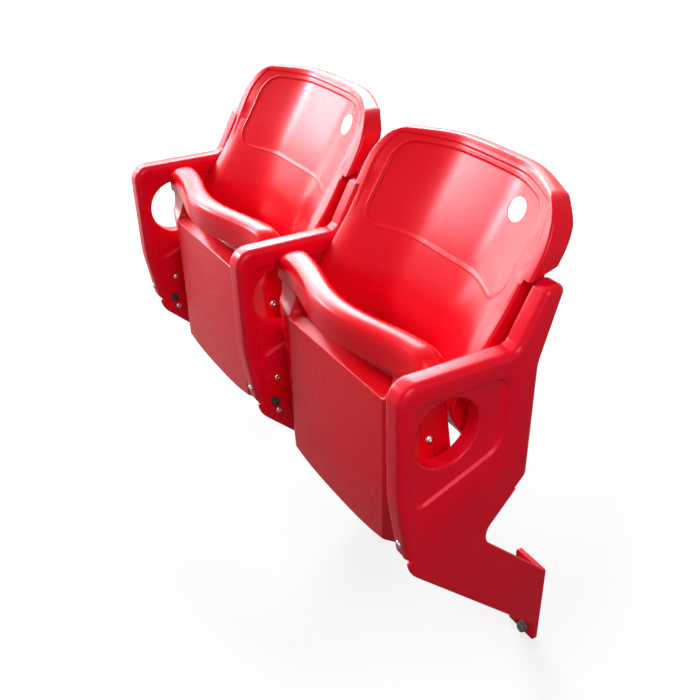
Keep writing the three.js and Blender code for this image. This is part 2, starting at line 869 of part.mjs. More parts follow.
// The front of the back shell at its middle and at its rim, as [height, reach].
const backMiddleShares = [
  [0, 1],
  [0.248, 0.962],
  [0.41, 0.811],
  [0.597, 0.585],
  [0.851, 0.22],
  [1, 0],
];
const rimLowShares = [
  [0, 0],
  [0.086, 0.47],
  [0.258, 1],
];
const rimHighShares = [
  [0.41, 0.284],
  [0.592, 0.037],
  [0.765, 0],
  [0.944, 0],
  [1, 0],
];
const backHeightAt = (share) => mix(backBottomHeight, backHeight, share);

// How far the post's front line, drawn on, stands in front of the riser.
function postFront(height) {
  return postReach - (postSetback * (height - armHeight)) / postRise;
}

const backMiddle = backMiddleShares.map(([up, out]) => [
  backHeightAt(up),
  mix(backTopReach, backLowReach, out),
]);
const backRim = [
  ...rimLowShares.map(([up, out]) => [backHeightAt(up), mix(backLowReach, rimFullReach, out)]),
  ...rimHighShares.map(([up, out]) => {
    const height = backHeightAt(up);
    return [height, mix(postFront(height) + rimProud, rimFullReach, out)];
  }),
];

// Half the width without the round corners: the waist between the posts, the shoulders over them.
function backFullHalf(height) {
  return mix(backWaistHalf, backHalfWidth, smooth((height - shoulderHeight) / shoulderRun));
}

function backHalfAt(height) {
  const top = cornerInset(height + backTopArch - backHeight + backTopRadius, backTopRadius, backTopRun);
  const fall = backBottomHeight + backBottomRadius - height;
  return backFullHalf(height) - top - cornerInset(fall, backBottomRadius, backBottomRadius);
}

// How far an elliptic corner has turned in, a rise after its start.
function cornerInset(rise, radius, run) {
  const share = THREE.MathUtils.clamp(rise / radius, 0, 1);
  return run * (1 - Math.sqrt(1 - share ** 2));
}

// The front curves forward from its flat middle to the rim, which is flat and stands a little proud.
function backFrontReach(across, height) {
  const full = backFullHalf(height) - rimWidth;
  const curved = (Math.abs(across) / full - backFlatShare) / (1 - backFlatShare);
  const share = THREE.MathUtils.clamp(curved, 0, 1);
  return mix(curveAt(backMiddle, height), curveAt(backRim, height), share * share * (2 - share));
}

function rimLift(across, height, arch, half) {
  const crown = backHeight + arch * (1 - (across / half) ** 2) - backTopArch;
  const side = (rimWidth + rimSlope - half + Math.abs(across)) / rimSlope;
  const top = (rimTopWidth + rimSlope - crown + height) / rimSlope;
  const isUpper = smooth((height - fieldBottom) / rimWidth);
  return rimRise * THREE.MathUtils.clamp(Math.max(side, top), 0, 1) * isUpper;
}

// One ring of the back, at a height that follows the arched top, with its thickness squeezed at the ends.
function backRing(height, squeeze, arch) {
  const half = backHalfAt(height);
  const point = (across, side) => {
    const place = height + arch * (1 - (across / half) ** 2);
    const front = -backFrontReach(across, place) - rimLift(across, place, arch, half);
    const depth = mix(backThickness, backReturn, Math.abs(across / half) ** 3);
    const thick = (depth / 2 - edgeInset(half - Math.abs(across), rimRadius)) * squeeze;
    return new THREE.Vector3(across, front + depth / 2 - side * thick, place);
  };
  const acrossShares = [0, 0.3, 0.55, 0.76];
  const rimInsets = [rimWidth + rimSlope, rimWidth, rimRadius, rimRadius / 3, 0];
  const acrosses = mirrored(half, acrossShares, rimInsets);
  const front = acrosses.map((across) => point(across, 1));
  return [...front, ...acrosses.reverse().map((across) => point(across, -1))];
}

function backSolid() {
  const low = backBottomHeight;
  const corner = backHeight - backTopArch;
  const top = corner - backTopRadius;
  const riseShare = (height) => THREE.MathUtils.clamp((height - top) / backTopRadius, 0, 1);
  const ring = (height, squeeze = 1) => backRing(height, squeeze, backTopArch * riseShare(height) ** 4);
  const rounding = (share) => rimRadius * (1 - Math.sqrt(1 - share ** 2));
  const roundShares = [0.3, 1];
  const footShares = [0.5, 1];
  const waistShares = [0.3, 0.7];
  const crownShares = [0, 0.5];
  const rimTop = corner - rimTopWidth;
  const rings = [
    ...roundShares.map((share) => ring(low + rounding(share), share)),
    ...footShares.map((share) => ring(mix(low + rimRadius, low + backBottomRadius, share))),
    ...waistShares.map((share) => ring(mix(low + backBottomRadius, shoulderHeight, share))),
    ring(shoulderHeight),
    ring(shoulderHeight + shoulderRun),
    ...crownShares.map((share) => ring(mix(top, rimTop - rimSlope, share))),
    ring(rimTop - rimSlope),
    ring(rimTop),
    ...roundShares.toReversed().map((share) => ring(corner - rounding(share), share)),
  ];
  return solidOf(loft(rings));
}

// The shallow field in the back's front, cut to an even depth under the curved front.
function backFieldCutter() {
  const rise = fieldTop - backTopArch - fieldBottom;
  const inset = (height) => {
    const low = cornerInset(fieldBottom + fieldCorner - height, fieldCorner, fieldCorner);
    return low + cornerInset(height - fieldBottom - rise + fieldCorner, fieldCorner, fieldCorner);
  };
  const heightShares = [0, 0.04, 0.2, 0.8, 0.96, 1];
  const acrossShares = [0, 0.35, 0.6, 0.82, 1];
  const rings = heightShares.map((share) => {
    const height = fieldBottom + rise * share;
    const half = fieldHalf - inset(height);
    const point = (across, inward) => {
      const place = height + backTopArch * share ** 4 * (1 - (across / half) ** 2);
      return new THREE.Vector3(across, -backFrontReach(across, place) + inward, place);
    };
    const acrosses = mirrored(half, acrossShares, []);
    const front = acrosses.map((across) => point(across, -overrun));
    return [...front, ...acrosses.reverse().map((across) => point(across, fieldInset))];
  });
  return solidOf(loft(rings));
}

// The oval number plate lies on the field: its outline is in the plate's own plane.
function plateSlab(grow, low, high) {
  const shape = new THREE.Shape();
  shape.absellipse(0, 0, plateHalfWidth + grow, plateHalfHeight + grow, 0, 2 * Math.PI);
  const outline = new THREE.Shape(shape.getPoints(12).slice(0, -1));
  const slope = (step) =>
    backFrontReach(plateAcross + step, plateHeight) - backFrontReach(plateAcross - step, plateHeight);
  const xAxis = new THREE.Vector3(2 * plateHalfWidth, -slope(plateHalfWidth), 0).normalize();
  const up = new THREE.Vector3(0, Math.sin(plateLean), Math.cos(plateLean));
  const normal = xAxis.clone().cross(up).normalize();
  const yAxis = normal.clone().cross(xAxis);
  const face = -backFrontReach(plateAcross, plateHeight) + fieldInset;
  const origin = new THREE.Vector3(plateAcross, face, plateHeight);
  origin.addScaledVector(normal, (low + high) / 2);
  return solidOf(placed(slab(outline, high - low, 0), xAxis, yAxis, normal, origin));
}

// Each side of a back: a boss that meets the post, and a pocket in the rear for its screw.
function backFixing(spot) {
  const side = pitch / 2 - backWaistHalf;
  const boss = rod(
    backBossRadius,
    at(spot, faceOut + gap, backScrewY, backScrewHeight),
    at(spot, side + backWall, backScrewY, backScrewHeight),
    14,
  );
  const inner = backWaistHalf - backWall - backPocketWidth;
  const y = -backFrontReach(inner, backScrewHeight + backPocketHalf) + backSkin;
  const pocket = new THREE.BoxGeometry(backPocketWidth, 2 * backReturn, 2 * backPocketHalf);
  const middle = at(spot, side + backWall + backPocketWidth / 2, y + backReturn, backScrewHeight);
  pocket.translate(middle.x, middle.y, middle.z);
  const hole = bore(spot, screwRadius, faceOut, side + 2 * backWall, backScrewY, backScrewHeight);
  return { boss: solidOf(boss), cuts: [solidOf(pocket), hole, shoulderCut(spot)] };
}

// The shoulder's underside follows the top of the post that it stands over.
function shoulderCut(spot) {
  const front = [-postReach + postSetback, armHeight + postRise + shoulderGap];
  const slope = postTopRise / postTopDepth;
  const line = (y) => [y, front[1] + slope * (y - front[0])];
  const low = shoulderHeight - shoulderRun;
  const shape = roundedShape([
    [-postReach, low, 0],
    [overrun, low, 0],
    [...line(overrun), 0],
    [...line(-postReach), 0],
  ]);
  return slabOut(spot, shape, 0, pitch / 2 - backWaistHalf);
}

function backShellSolid(spots) {
  const fixings = spots.map(backFixing);
  const plateRecess = plateSlab(plateFit, -plateInset, overrun);
  const cuts = [backFieldCutter(), plateRecess, ...fixings.flatMap((fixing) => fixing.cuts)];
  const whole = union([backSolid(), ...fixings.map((fixing) => fixing.boss)]);
  return cuts.reduce((rest, cut) => rest.subtract(cut), whole).simplify(flatness);
}

// Assembly

const seatNames = ["left", "right"];
const standardNames = ["left", "middle", "right"];
const standardX = (index) => (index - placeCount / 2) * pitch;

standardNames.forEach((name, i) => {
  const sides = [-1, 1].filter((side) => standardNames[i + side]);
  addMesh(`standard_${name}`, standardSolid(sides), red).position.x = standardX(i);
  const head = frontPoint.clone().addScaledVector(frontInward, -gap).setX(standardX(i));
  addMesh(`front_screw_${name}`, frontScrew(head), steel);
  anchorPlaces.forEach(([place, height]) => {
    const head = new THREE.Vector3(standardX(i) + anchorX, -flangeThickness - gap, height);
    addMesh(`anchor_bolt_${name}_${place}`, anchorBolt(head), darkSteel);
  });
});

function frontScrew(head) {
  return socketScrew(
    frontHeadRadius, frontHeadHeight, frontScrewRadius, frontScrewLength, frontInward, head,
  );
}

// A flange-head hexagon bolt whose shank ends at the riser's face.
function anchorBolt(head) {
  const end = head.clone().setY(0);
  const washer = head.clone().setY(head.y - anchorWasherHeight);
  const top = washer.clone().setY(washer.y - anchorHeadHeight);
  return union([
    solidOf(rod(anchorRadius, top, end, 8)),
    solidOf(rod(anchorWasherRadius, washer, head, 12)),
    solidOf(rod(anchorFlatRadius / Math.cos(Math.PI / 6), top, head, 6)),
  ]);
}

seatNames.forEach((name, i) => {
  const x = (standardX(i) + standardX(i + 1)) / 2;
  const ends = [
    { x: -pitch / 2, side: 1 },
    { x: pitch / 2, side: -1 },
  ];
  const seat = ends.flatMap(seatCuts).reduce((rest, cut) => rest.subtract(cut), seatSolid());
  addMesh(`seat_shell_${name}`, seat.simplify(flatness), red).position.x = x;
  addMesh(`back_shell_${name}`, backShellSolid(ends), red).position.x = x;
  const plateFoot = gap - plateInset;
  const plate = plateSlab(0, plateFoot, plateFoot + plateThickness);
  addMesh(`number_plate_${name}`, plate, white).position.x = x;
  const endNames = i === 0 ? ["outer", "inner"] : ["inner", "outer"];
  ends.forEach((end, k) => {
    const spot = { x: standardX(i + k), side: end.side };
    addHinge(`${name}_${endNames[k]}`, spot);
    if (k === 0) addMesh(`torsion_spring_${name}`, torsionSpring(spot), steel);
  });
});

function addHinge(name, spot) {
  const outward = axisX.clone().multiplyScalar(spot.side);
  addMesh(`hinge_plate_${name}`, hingePlateSolid(spot), red);
  hingeScrews.forEach(([place, y, z]) => {
    const piece = sideScrew(spot, plateOut + gap, flatHeadHeight, y, z);
    addMesh(`hinge_screw_${name}_${place}`, piece, steel);
  });
  addMesh(`pivot_pin_${name}`, pivotPin(spot), steel);
  addMesh(`hinge_arm_${name}`, hingeArm(spot), red);
  const head = at(spot, armIn - gap, ...armTip);
  const bolt = socketScrew(boltHeadRadius, boltHeadHeight, screwRadius, boltLength, outward, head);
  addMesh(`arm_bolt_${name}`, bolt, steel);
  addMesh(`up_stop_${name}`, stop(spot, faceOut + gap, upStopY, upStopHeight), rubber);
  addMesh(`down_stop_${name}`, stop(spot, plateOut + gap, ...downStop), rubber);
  const seat = pitch / 2 - backWaistHalf + backWall + gap;
  const backScrew = sideScrew(spot, seat, screwHeadHeight, backScrewY, backScrewHeight);
  addMesh(`back_screw_${name}`, backScrew, steel);
}

// A screw into a standard's side, its head's underside at an out.
function sideScrew(spot, out, headHeight, y, z) {
  const inward = axisX.clone().multiplyScalar(-spot.side);
  const length = out - faceOut + screwSeat;
  return screw(screwHeadRadius, headHeight, screwRadius, length, inward, at(spot, out, y, z));
}

export default group;
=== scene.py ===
"""A two-place tip-up stadium seat: moulded seats and backs between cast armed standards.

Metres, +Z up, +Y into the riser. A reach is a distance in front of the riser face, and an out is
a distance from a standard's own middle plane.
"""
import json
import math

import bmesh
import bpy
import numpy as np
from bpy.props import FloatProperty, FloatVectorProperty, PointerProperty
from mathutils import Matrix, Vector

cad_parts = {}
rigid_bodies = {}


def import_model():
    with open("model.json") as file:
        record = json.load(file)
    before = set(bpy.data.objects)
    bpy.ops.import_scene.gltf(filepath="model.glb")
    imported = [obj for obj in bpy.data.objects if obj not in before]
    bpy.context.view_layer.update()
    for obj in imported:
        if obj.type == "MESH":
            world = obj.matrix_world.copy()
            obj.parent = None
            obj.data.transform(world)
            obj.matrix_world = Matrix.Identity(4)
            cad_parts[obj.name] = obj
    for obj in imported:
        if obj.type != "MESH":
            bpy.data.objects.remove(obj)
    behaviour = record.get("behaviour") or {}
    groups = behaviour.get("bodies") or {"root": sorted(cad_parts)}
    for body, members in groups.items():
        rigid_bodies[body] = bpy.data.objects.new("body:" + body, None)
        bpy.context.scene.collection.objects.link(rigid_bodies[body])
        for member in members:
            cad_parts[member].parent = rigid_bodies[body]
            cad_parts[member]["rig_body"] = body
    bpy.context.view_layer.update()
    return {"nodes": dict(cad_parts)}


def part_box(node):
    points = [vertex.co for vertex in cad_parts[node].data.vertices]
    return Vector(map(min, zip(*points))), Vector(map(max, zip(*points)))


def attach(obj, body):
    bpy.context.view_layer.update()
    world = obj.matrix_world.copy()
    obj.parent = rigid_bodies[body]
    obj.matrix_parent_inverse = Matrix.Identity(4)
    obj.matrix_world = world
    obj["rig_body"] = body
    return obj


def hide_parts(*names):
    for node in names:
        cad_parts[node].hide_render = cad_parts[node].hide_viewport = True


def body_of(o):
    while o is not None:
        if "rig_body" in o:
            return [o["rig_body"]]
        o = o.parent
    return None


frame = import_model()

bl_info = {
    "name": "Tip-up stadium seat",
    "version": (1, 0, 0),
    "blender": (4, 5, 0),
    "location": "3D View > Sidebar > Stadium seat",
    "description": "Builds the detailed pieces, finishes and studio of a two-place tip-up stadium seat",
    "category": "Object",
}

HALF_PITCH = 0.25
STANDARDS = {"left": -2 * HALF_PITCH, "middle": 0.0, "right": 2 * HALF_PITCH}
SEATS = {"left": -HALF_PITCH, "right": HALF_PITCH}
# Each side of a standard that carries a seat: name, its standard, and the way the seat lies.
SPOTS = [
    ("left_outer", "left", 1),
    ("left_inner", "middle", -1),
    ("right_inner", "middle", 1),
    ("right_outer", "right", -1),
]
ARM_HEIGHT = 0.540
FACE_OUT = 0.020
GAP = 0.0003
OVERRUN = 0.02
ARC_STEP = math.radians(5)
# The most of a side that one rounded corner may take up.
CORNER_SHARE = 0.85
BEND_SHARE = 0.45
SHARP_ANGLE = math.radians(38)


def length(name, default, description):
    """A size in metres that a user may change."""
    return FloatProperty(
        name=name, default=default, description=description, min=0.0, unit="LENGTH", precision=4
    )


def colour(name, default, description):
    """A linear colour that a user may change."""
    return FloatVectorProperty(
        name=name, default=default, description=description, size=3, min=0.0, max=1.0, subtype="COLOR"
    )


def power(name, default, description):
    """A lamp's power that a user may change."""
    return FloatProperty(name=name, default=default, description=description, min=0.0, unit="POWER")


class StandardSizes(bpy.types.PropertyGroup):
    """Sizes of the cast standards."""

    width: length("Width", 0.040, "Width of a standard's body across the row")
    edge_radius: length("Edge radius", 0.011, "Rounding of the body's edges")
    arm_height: length("Arm height", ARM_HEIGHT, "Height of the arm's top above the flange's middle")
    arm_reach: length("Arm reach", 0.312, "How far the arm's front stands before the riser")
    hole_radius: length("Hand hole radius", 0.056, "Radius of the round hand hole")
    hole_reach: length("Hand hole reach", 0.225, "How far the hand hole's centre stands before the riser")
    hole_height: length("Hand hole height", 0.4395, "Height of the hand hole's centre")
    field_depth: length("Field depth", 0.005, "How deep the field round the hand hole is sunk")
    hole_round: length("Hand hole rounding", 0.005, "Rounding of the hand hole's edge")


class SeatSizes(bpy.types.PropertyGroup):
    """Sizes of the tip-up seat shells."""

    half_width: length("Half width", 0.220, "Half of the seat's width")
    lip_height: length("Lip height", 0.5395, "Height of the tipped-up lip's top")
    lip_radius: length("Lip radius", 0.024, "Rounding of the lip")
    lip_fullness: FloatProperty(
        name="Lip fullness", default=2.7, min=2.0, max=4.0, description="2 is a round lip, more is squarer"
    )
    lip_bow: length("Lip bow", 0.033, "How far the lip's middle bows forward")
    lip_skirt: length("Lip skirt", 0.053, "How far the lip's front hangs down")
    pocket_height: length("Pocket height", 0.044, "Height of the finger pocket under the lip")
    pocket_depth: length("Pocket depth", 0.036, "Depth of the finger pocket under the lip")
    bottom_height: length("Bottom height", 0.150, "Height of the tipped-up seat's lowest edge")
    end_radius: length("End radius", 0.005, "Rounding of the seat's two ends")


class BackSizes(bpy.types.PropertyGroup):
    """Sizes of the back shells."""

    height: length("Height", 0.733, "Height of the back's top")
    bottom_height: length("Bottom height", 0.338, "Height of the back's lower edge")
    half_width: length("Half width", 0.237, "Half width over the posts")
    waist_half: length("Waist half width", 0.221, "Half width between the posts")
    thickness: length("Thickness", 0.030, "Depth of the shell at its middle")
    rim_width: length("Rim width", 0.019, "Width of the flat rim")
    rim_rise: length("Rim rise", 0.002, "How proud the rim stands")
    field_inset: length("Field inset", 0.002, "How deep the field is sunk")
    field_slope: length("Field slope", 0.0030, "Width of the field's edge")
    field_bead: length("Field bead", 0.0007, "Height of the fine bead round the field")
    rim_round: length("Rim rounding", 0.005, "Rounding of the rim's front edge")


class FastenerSizes(bpy.types.PropertyGroup):
    """Sizes of the hinge, the screws and the stops."""

    screw_radius: length("Screw radius", 0.003, "Radius of the small screws' shanks")
    pin_radius: length("Pin radius", 0.005, "Radius of the pivot pins")
    stop_radius: length("Stop radius", 0.007, "Radius of the rubber stops")
    spring_wire: length("Spring wire", 0.002, "Diameter of the spring's wire")


class Finishes(bpy.types.PropertyGroup):
    """Colours of the unit's finishes."""

    shell: colour("Shell plastic", (0.74, 0.0012, 0.0090), "Red of the moulded shells")
    coat: colour("Powder coat", (0.77, 0.0014, 0.0145), "Red of the standards")
    hinge: colour("Hinge coat", (0.78, 0.0014, 0.0085), "Red of the hinge plates and arms")
    gloss: colour("Gloss tone", (1.0, 0.50, 0.62), "Tone of the red finishes' reflections seen square on")
    zinc: colour("Zinc", (0.62, 0.63, 0.66), "Bright zinc of the screws")
    dark_steel: colour("Dark steel", (0.17, 0.175, 0.18), "Anchor bolts")
    rubber: colour("Rubber", (0.012, 0.012, 0.014), "Rubber stops")
    plate: colour("Number plate", (0.86, 0.84, 0.86), "Blank white number plates")


class StageSettings(bpy.types.PropertyGroup):
    """The studio round the unit."""

    floor: colour("Floor", (0.14, 0.14, 0.14), "Pale floor")
    key: power("Key light", 80.0, "Power of the main light, before the unit on the left")
    sky: power("Sky light", 196.0, "Power of the wide light high on the left")
    side: power("Side light", 35.0, "Power of the low light on the left")
    rear: power("Rear light", 32.0, "Power of the light behind the arms")
    fill: power("Fill light", 38.0, "Power of the soft light on the right")
    air: FloatProperty(name="Air", default=0.14, min=0.0, description="Strength of the even light all round")


# Shapes


def mix(a, b, share):
    return a + (b - a) * share


def smooth(share):
    s = np.clip(share, 0.0, 1.0)
    return s * s * (3 - 2 * s)


def curve_at(points, height):
    """A smooth curve of value against height through points (height, value)."""
    h, v = np.array(points, float).T
    gradient = np.empty_like(h)
    gradient[1:-1] = (v[2:] - v[:-2]) / (h[2:] - h[:-2])
    gradient[0] = (v[1] - v[0]) / (h[1] - h[0])
    gradient[-1] = (v[-1] - v[-2]) / (h[-1] - h[-2])
    i = np.clip(np.searchsorted(h, height, side="right") - 1, 0, len(h) - 2)
    span = h[i + 1] - h[i]
    t = np.clip((height - h[i]) / span, 0, 1)
    rise = v[i + 1] - v[i]
    bend = t * (1 - t) * ((1 - t) * (gradient[i] * span - rise) - t * (gradient[i + 1] * span - rise))
    return v[i] + rise * t + bend


def rounded_outline(corners):
    """A closed outline from corners (x, y, radius), each rounded by an arc."""
    points = []
    for i, (x, y, radius) in enumerate(corners):
        here = np.array([x, y], float)
        before = np.array(corners[i - 1][:2], float) - here
        after = np.array(corners[(i + 1) % len(corners)][:2], float) - here
        if radius <= 0:
            points.append(here)
            continue
        lb, la = np.linalg.norm(before), np.linalg.norm(after)
        half = math.acos(np.clip(before @ after / lb / la, -1, 1)) / 2
        reach = min(radius / math.tan(half), CORNER_SHARE * min(lb, la))
        middle = before / lb + after / la
        centre = here + middle / np.linalg.norm(middle) * reach / math.cos(half)
        start = here + before / lb * reach - centre
        end = here + after / la * reach - centre
        sweep = math.atan2(start[0] * end[1] - start[1] * end[0], start @ end)
        steps = max(1, math.ceil(abs(sweep) / ARC_STEP))
        for k in range(steps + 1):
            c, s = math.cos(sweep * k / steps), math.sin(sweep * k / steps)
            points.append(centre + [start[0] * c - start[1] * s, start[0] * s + start[1] * c])
    return np.array(points)


def rounded_rectangle(left, bottom, right, top, radius):
    """A rectangle's outline with its four corners rounded alike."""
    corners = ((left, bottom), (right, bottom), (right, top), (left, top))
    return rounded_outline([(*corner, radius) for corner in corners])


def inset_outline(points, inset):
    """The outline moved inwards by inset, mitred at its corners."""
    after = np.roll(points, -1, 0) - points
    after /= np.linalg.norm(after, axis=1)[:, None]
    before = np.roll(after, 1, 0)
    left = np.stack([-after[:, 1], after[:, 0]], 1)
    right = np.stack([-before[:, 1], before[:, 0]], 1)
    middle = (left + right) / (1 + np.sum(left * right, 1))[:, None]
    x, y = points.T
    turn = np.sign(np.sum(x * np.roll(y, -1) - y * np.roll(x, -1)))
    return points + middle * inset * turn


def mesh_piece(name, places, faces):
    """A new object from places and faces, its faces turned outwards."""
    mesh = bpy.data.meshes.new(name)
    mesh.from_pydata([tuple(p) for p in places], [], faces)
    mesh.validate()
    shape = bmesh.new()
    shape.from_mesh(mesh)
    bmesh.ops.remove_doubles(shape, verts=shape.verts, dist=1e-7)
    bmesh.ops.recalc_face_normals(shape, faces=shape.faces)
    shape.to_mesh(mesh)
    shape.free()
    piece = bpy.data.objects.new(name, mesh)
    bpy.context.scene.collection.objects.link(piece)
    return piece


def loft(name, rings):
    """A closed solid through rings of equal count, with a flat face at each end."""
    rings = np.asarray(rings, float)
    count = rings.shape[1]
    faces = []
    for r in range(len(rings) - 1):
        for i in range(count):
            a, b = r * count + i, r * count + (i + 1) % count
            faces.append((a, b, b + count, a + count))
    faces.append(tuple(range(count))[::-1])
    faces.append(tuple(range((len(rings) - 1) * count, len(rings) * count)))
    return mesh_piece(name, rings.reshape(-1, 3), faces)


def slab(name, outline, low, high, edge, steps=5):
    """A slab with its outline in Y and Z, from low to high along X, with rounded edges."""
    angles = np.linspace(0, math.pi / 2, steps + 1) if edge > 0 else [math.pi / 2]
    near = [(low + edge - edge * math.cos(a), edge - edge * math.sin(a)) for a in angles]
    both = near + [(low + high - x, inset) for x, inset in reversed(near)]
    return loft(name, [
        np.column_stack([np.full(len(outline), x), inset_outline(outline, inset)]) for x, inset in both
    ])


def turned(name, profile, axis, origin, sides=40):
    """A round piece of stacked (place, radius), turned about an axis through a point."""
    axis = Vector(axis).normalized()
    across = axis.orthogonal().normalized()
    other = axis.cross(across)
    rings = []
    for place, radius in profile:
        middle = Vector(origin) + axis * place
        rings.append([
            middle + (across * math.cos(a) + other * math.sin(a)) * max(radius, 1e-5)
            for a in np.linspace(0, 2 * math.pi, sides, endpoint=False)
        ])
    return loft(name, rings)


def bent(points, radii, steps):
    """A line through points whose inner corners are each rounded by a curve."""
    points = [np.array(p, float) for p in points]
    line = [points[0]]
    for before, here, after, radius in zip(points, points[1:], points[2:], radii):
        a, b = before - here, after - here
        start = here + a * min(radius / np.linalg.norm(a), BEND_SHARE)
        end = here + b * min(radius / np.linalg.norm(b), BEND_SHARE)
        line += [(1 - t) ** 2 * start + 2 * t * (1 - t) * here + t**2 * end for t in np.linspace(0, 1, steps)]
    return [tuple(point) for point in (*line, points[-1])]


def rounded_profile(corners, radius):
    """Stacked (place, radius) whose inner corners are softened alike."""
    return bent(corners, [radius] * (len(corners) - 2), 4)


def settle(piece):
    """Turns the piece's modifiers into its mesh."""
    graph = bpy.context.evaluated_depsgraph_get()
    mesh = bpy.data.meshes.new_from_object(piece.evaluated_get(graph))
    piece.modifiers.clear()
    piece.data = mesh
    return piece


def carve(piece, tools, operation="DIFFERENCE"):
    """Cuts the tools out of the piece, or joins them to it, and removes them."""
    for tool in tools:
        step = piece.modifiers.new("carve", "BOOLEAN")
        step.object = tool
        step.operation = operation
        step.solver = "EXACT"
    settle(piece)
    for tool in tools:
        bpy.data.objects.remove(tool)
    return piece


def shade(piece, angle=SHARP_ANGLE):
    """Smooth shading that keeps edges sharper than the angle."""
    piece.data.shade_smooth()
    piece.data.set_sharp_from_angle(angle=angle)
    return piece


def install(piece, node, material):
    """The piece takes a CAD node's place, body and finish."""
    piece.data.materials.clear()
    piece.data.materials.append(material)
    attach(piece, body_of(frame["nodes"][node])[0])
    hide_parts(node)
    return piece


# Materials


def group_tree(name, inputs, outputs):
    """A new shader node group with (name, kind, default) inputs and (name, kind) outputs."""
    tree = bpy.data.node_groups.new(name, "ShaderNodeTree")
    for label, kind, default in inputs:
        socket = tree.interface.new_socket(name=label, in_out="INPUT", socket_type=kind)
        socket.default_value = default
    for label, kind in outputs:
        tree.interface.new_socket(name=label, in_out="OUTPUT", socket_type=kind)
    return tree, tree.nodes.new("NodeGroupInput"), tree.nodes.new("NodeGroupOutput")


def shader_node(tree, kind, **settings):
    """A new shader node with its settings."""
    made = tree.nodes.new(kind)
    for key, value in settings.items():
        setattr(made, key, value)
    return made


def scaled_noise(tree, scale, stretch, detail, roughness):
    """Noise in the piece's own coordinates, finer by the scale socket."""
    place = shader_node(tree, "ShaderNodeTexCoord")
    mapping = shader_node(tree, "ShaderNodeMapping")
    mapping.inputs["Scale"].default_value = stretch
    noise = shader_node(tree, "ShaderNodeTexNoise")
    noise.inputs["Detail"].default_value = detail
    noise.inputs["Roughness"].default_value = roughness
    tree.links.new(place.outputs["Object"], mapping.inputs["Vector"])
    tree.links.new(mapping.outputs["Vector"], noise.inputs["Vector"])
    tree.links.new(scale, noise.inputs["Scale"])
    return noise


def ranged(tree, value, low, high, out_low, out_high):
    """A value's range mapped to another."""
    step = shader_node(tree, "ShaderNodeMapRange")
    for label, number in (("From Min", low), ("From Max", high), ("To Min", out_low), ("To Max", out_high)):
        step.inputs[label].default_value = number
    tree.links.new(value, step.inputs["Value"])
    return step.outputs["Result"]


def surface_grain():
    """Heights of a fine grain and of slow waves, as a mould or a powder coat leaves them."""
    tree, entry, leave = group_tree(
        "surface grain",
        [("Grain Scale", "NodeSocketFloat", 900.0), ("Wave Scale", "NodeSocketFloat", 60.0)],
        [("Grain", "NodeSocketFloat"), ("Waves", "NodeSocketFloat")],
    )
    fine = scaled_noise(tree, entry.outputs["Grain Scale"], (1, 1, 1), 2.0, 0.5)
    slow = scaled_noise(tree, entry.outputs["Wave Scale"], (1, 1, 1), 1.0, 0.4)
    tree.links.new(fine.outputs["Fac"], leave.inputs["Grain"])
    tree.links.new(slow.outputs["Fac"], leave.inputs["Waves"])
    return tree


def handling_marks():
    """Masks of soft smudges and of hair-fine scratches from use."""
    tree, entry, leave = group_tree(
        "handling marks",
        [("Smudge Scale", "NodeSocketFloat", 7.0), ("Scratch Scale", "NodeSocketFloat", 60.0)],
        [("Smudge", "NodeSocketFloat"), ("Scratch", "NodeSocketFloat")],
    )
    cloud = scaled_noise(tree, entry.outputs["Smudge Scale"], (1, 1, 1), 4.0, 0.6)
    smudge = ranged(tree, cloud.outputs["Fac"], 0.42, 0.68, 0.0, 1.0)
    hair = scaled_noise(tree, entry.outputs["Scratch Scale"], (0.08, 2.2, 0.35), 3.0, 0.7)
    thin = ranged(tree, hair.outputs["Fac"], 0.66, 0.74, 0.0, 1.0)
    tree.links.new(smudge, leave.inputs["Smudge"])
    tree.links.new(thin, leave.inputs["Scratch"])
    return tree


def colour_drift():
    """A colour that drifts slowly between two tones, as pigment does in a large piece."""
    tree, entry, leave = group_tree(
        "colour drift",
        [("Tone", "NodeSocketColor", (1, 1, 1, 1)), ("Other Tone", "NodeSocketColor", (1, 1, 1, 1)),
         ("Drift Scale", "NodeSocketFloat", 5.0)],
        [("Color", "NodeSocketColor")],
    )
    cloud = scaled_noise(tree, entry.outputs["Drift Scale"], (1, 1, 1), 3.0, 0.55)
    share = ranged(tree, cloud.outputs["Fac"], 0.3, 0.7, 0.0, 1.0)
    # A Mix node's colours are its inputs 6 and 7, and its output 2.
    blend = shader_node(tree, "ShaderNodeMix", data_type="RGBA")
    tree.links.new(share, blend.inputs[0])
    tree.links.new(entry.outputs["Tone"], blend.inputs[6])
    tree.links.new(entry.outputs["Other Tone"], blend.inputs[7])
    tree.links.new(blend.outputs[2], leave.inputs["Color"])
    return tree


RED_SPECULAR = 0.29
GROUPS = {}


def use_group(tree, maker, **values):
    """Places a shared effect in a material with the material's own values."""
    if maker.__name__ not in GROUPS:
        GROUPS[maker.__name__] = maker()
    placed = shader_node(tree, "ShaderNodeGroup", node_tree=GROUPS[maker.__name__])
    for key, value in values.items():
        placed.inputs[key.replace("_", " ").title()].default_value = value
    return placed


def finish_tone(tone_name):
    """A colour that is set in the scene's finishes."""
    return tuple(getattr(bpy.context.scene.seat_unit_finishes, tone_name))


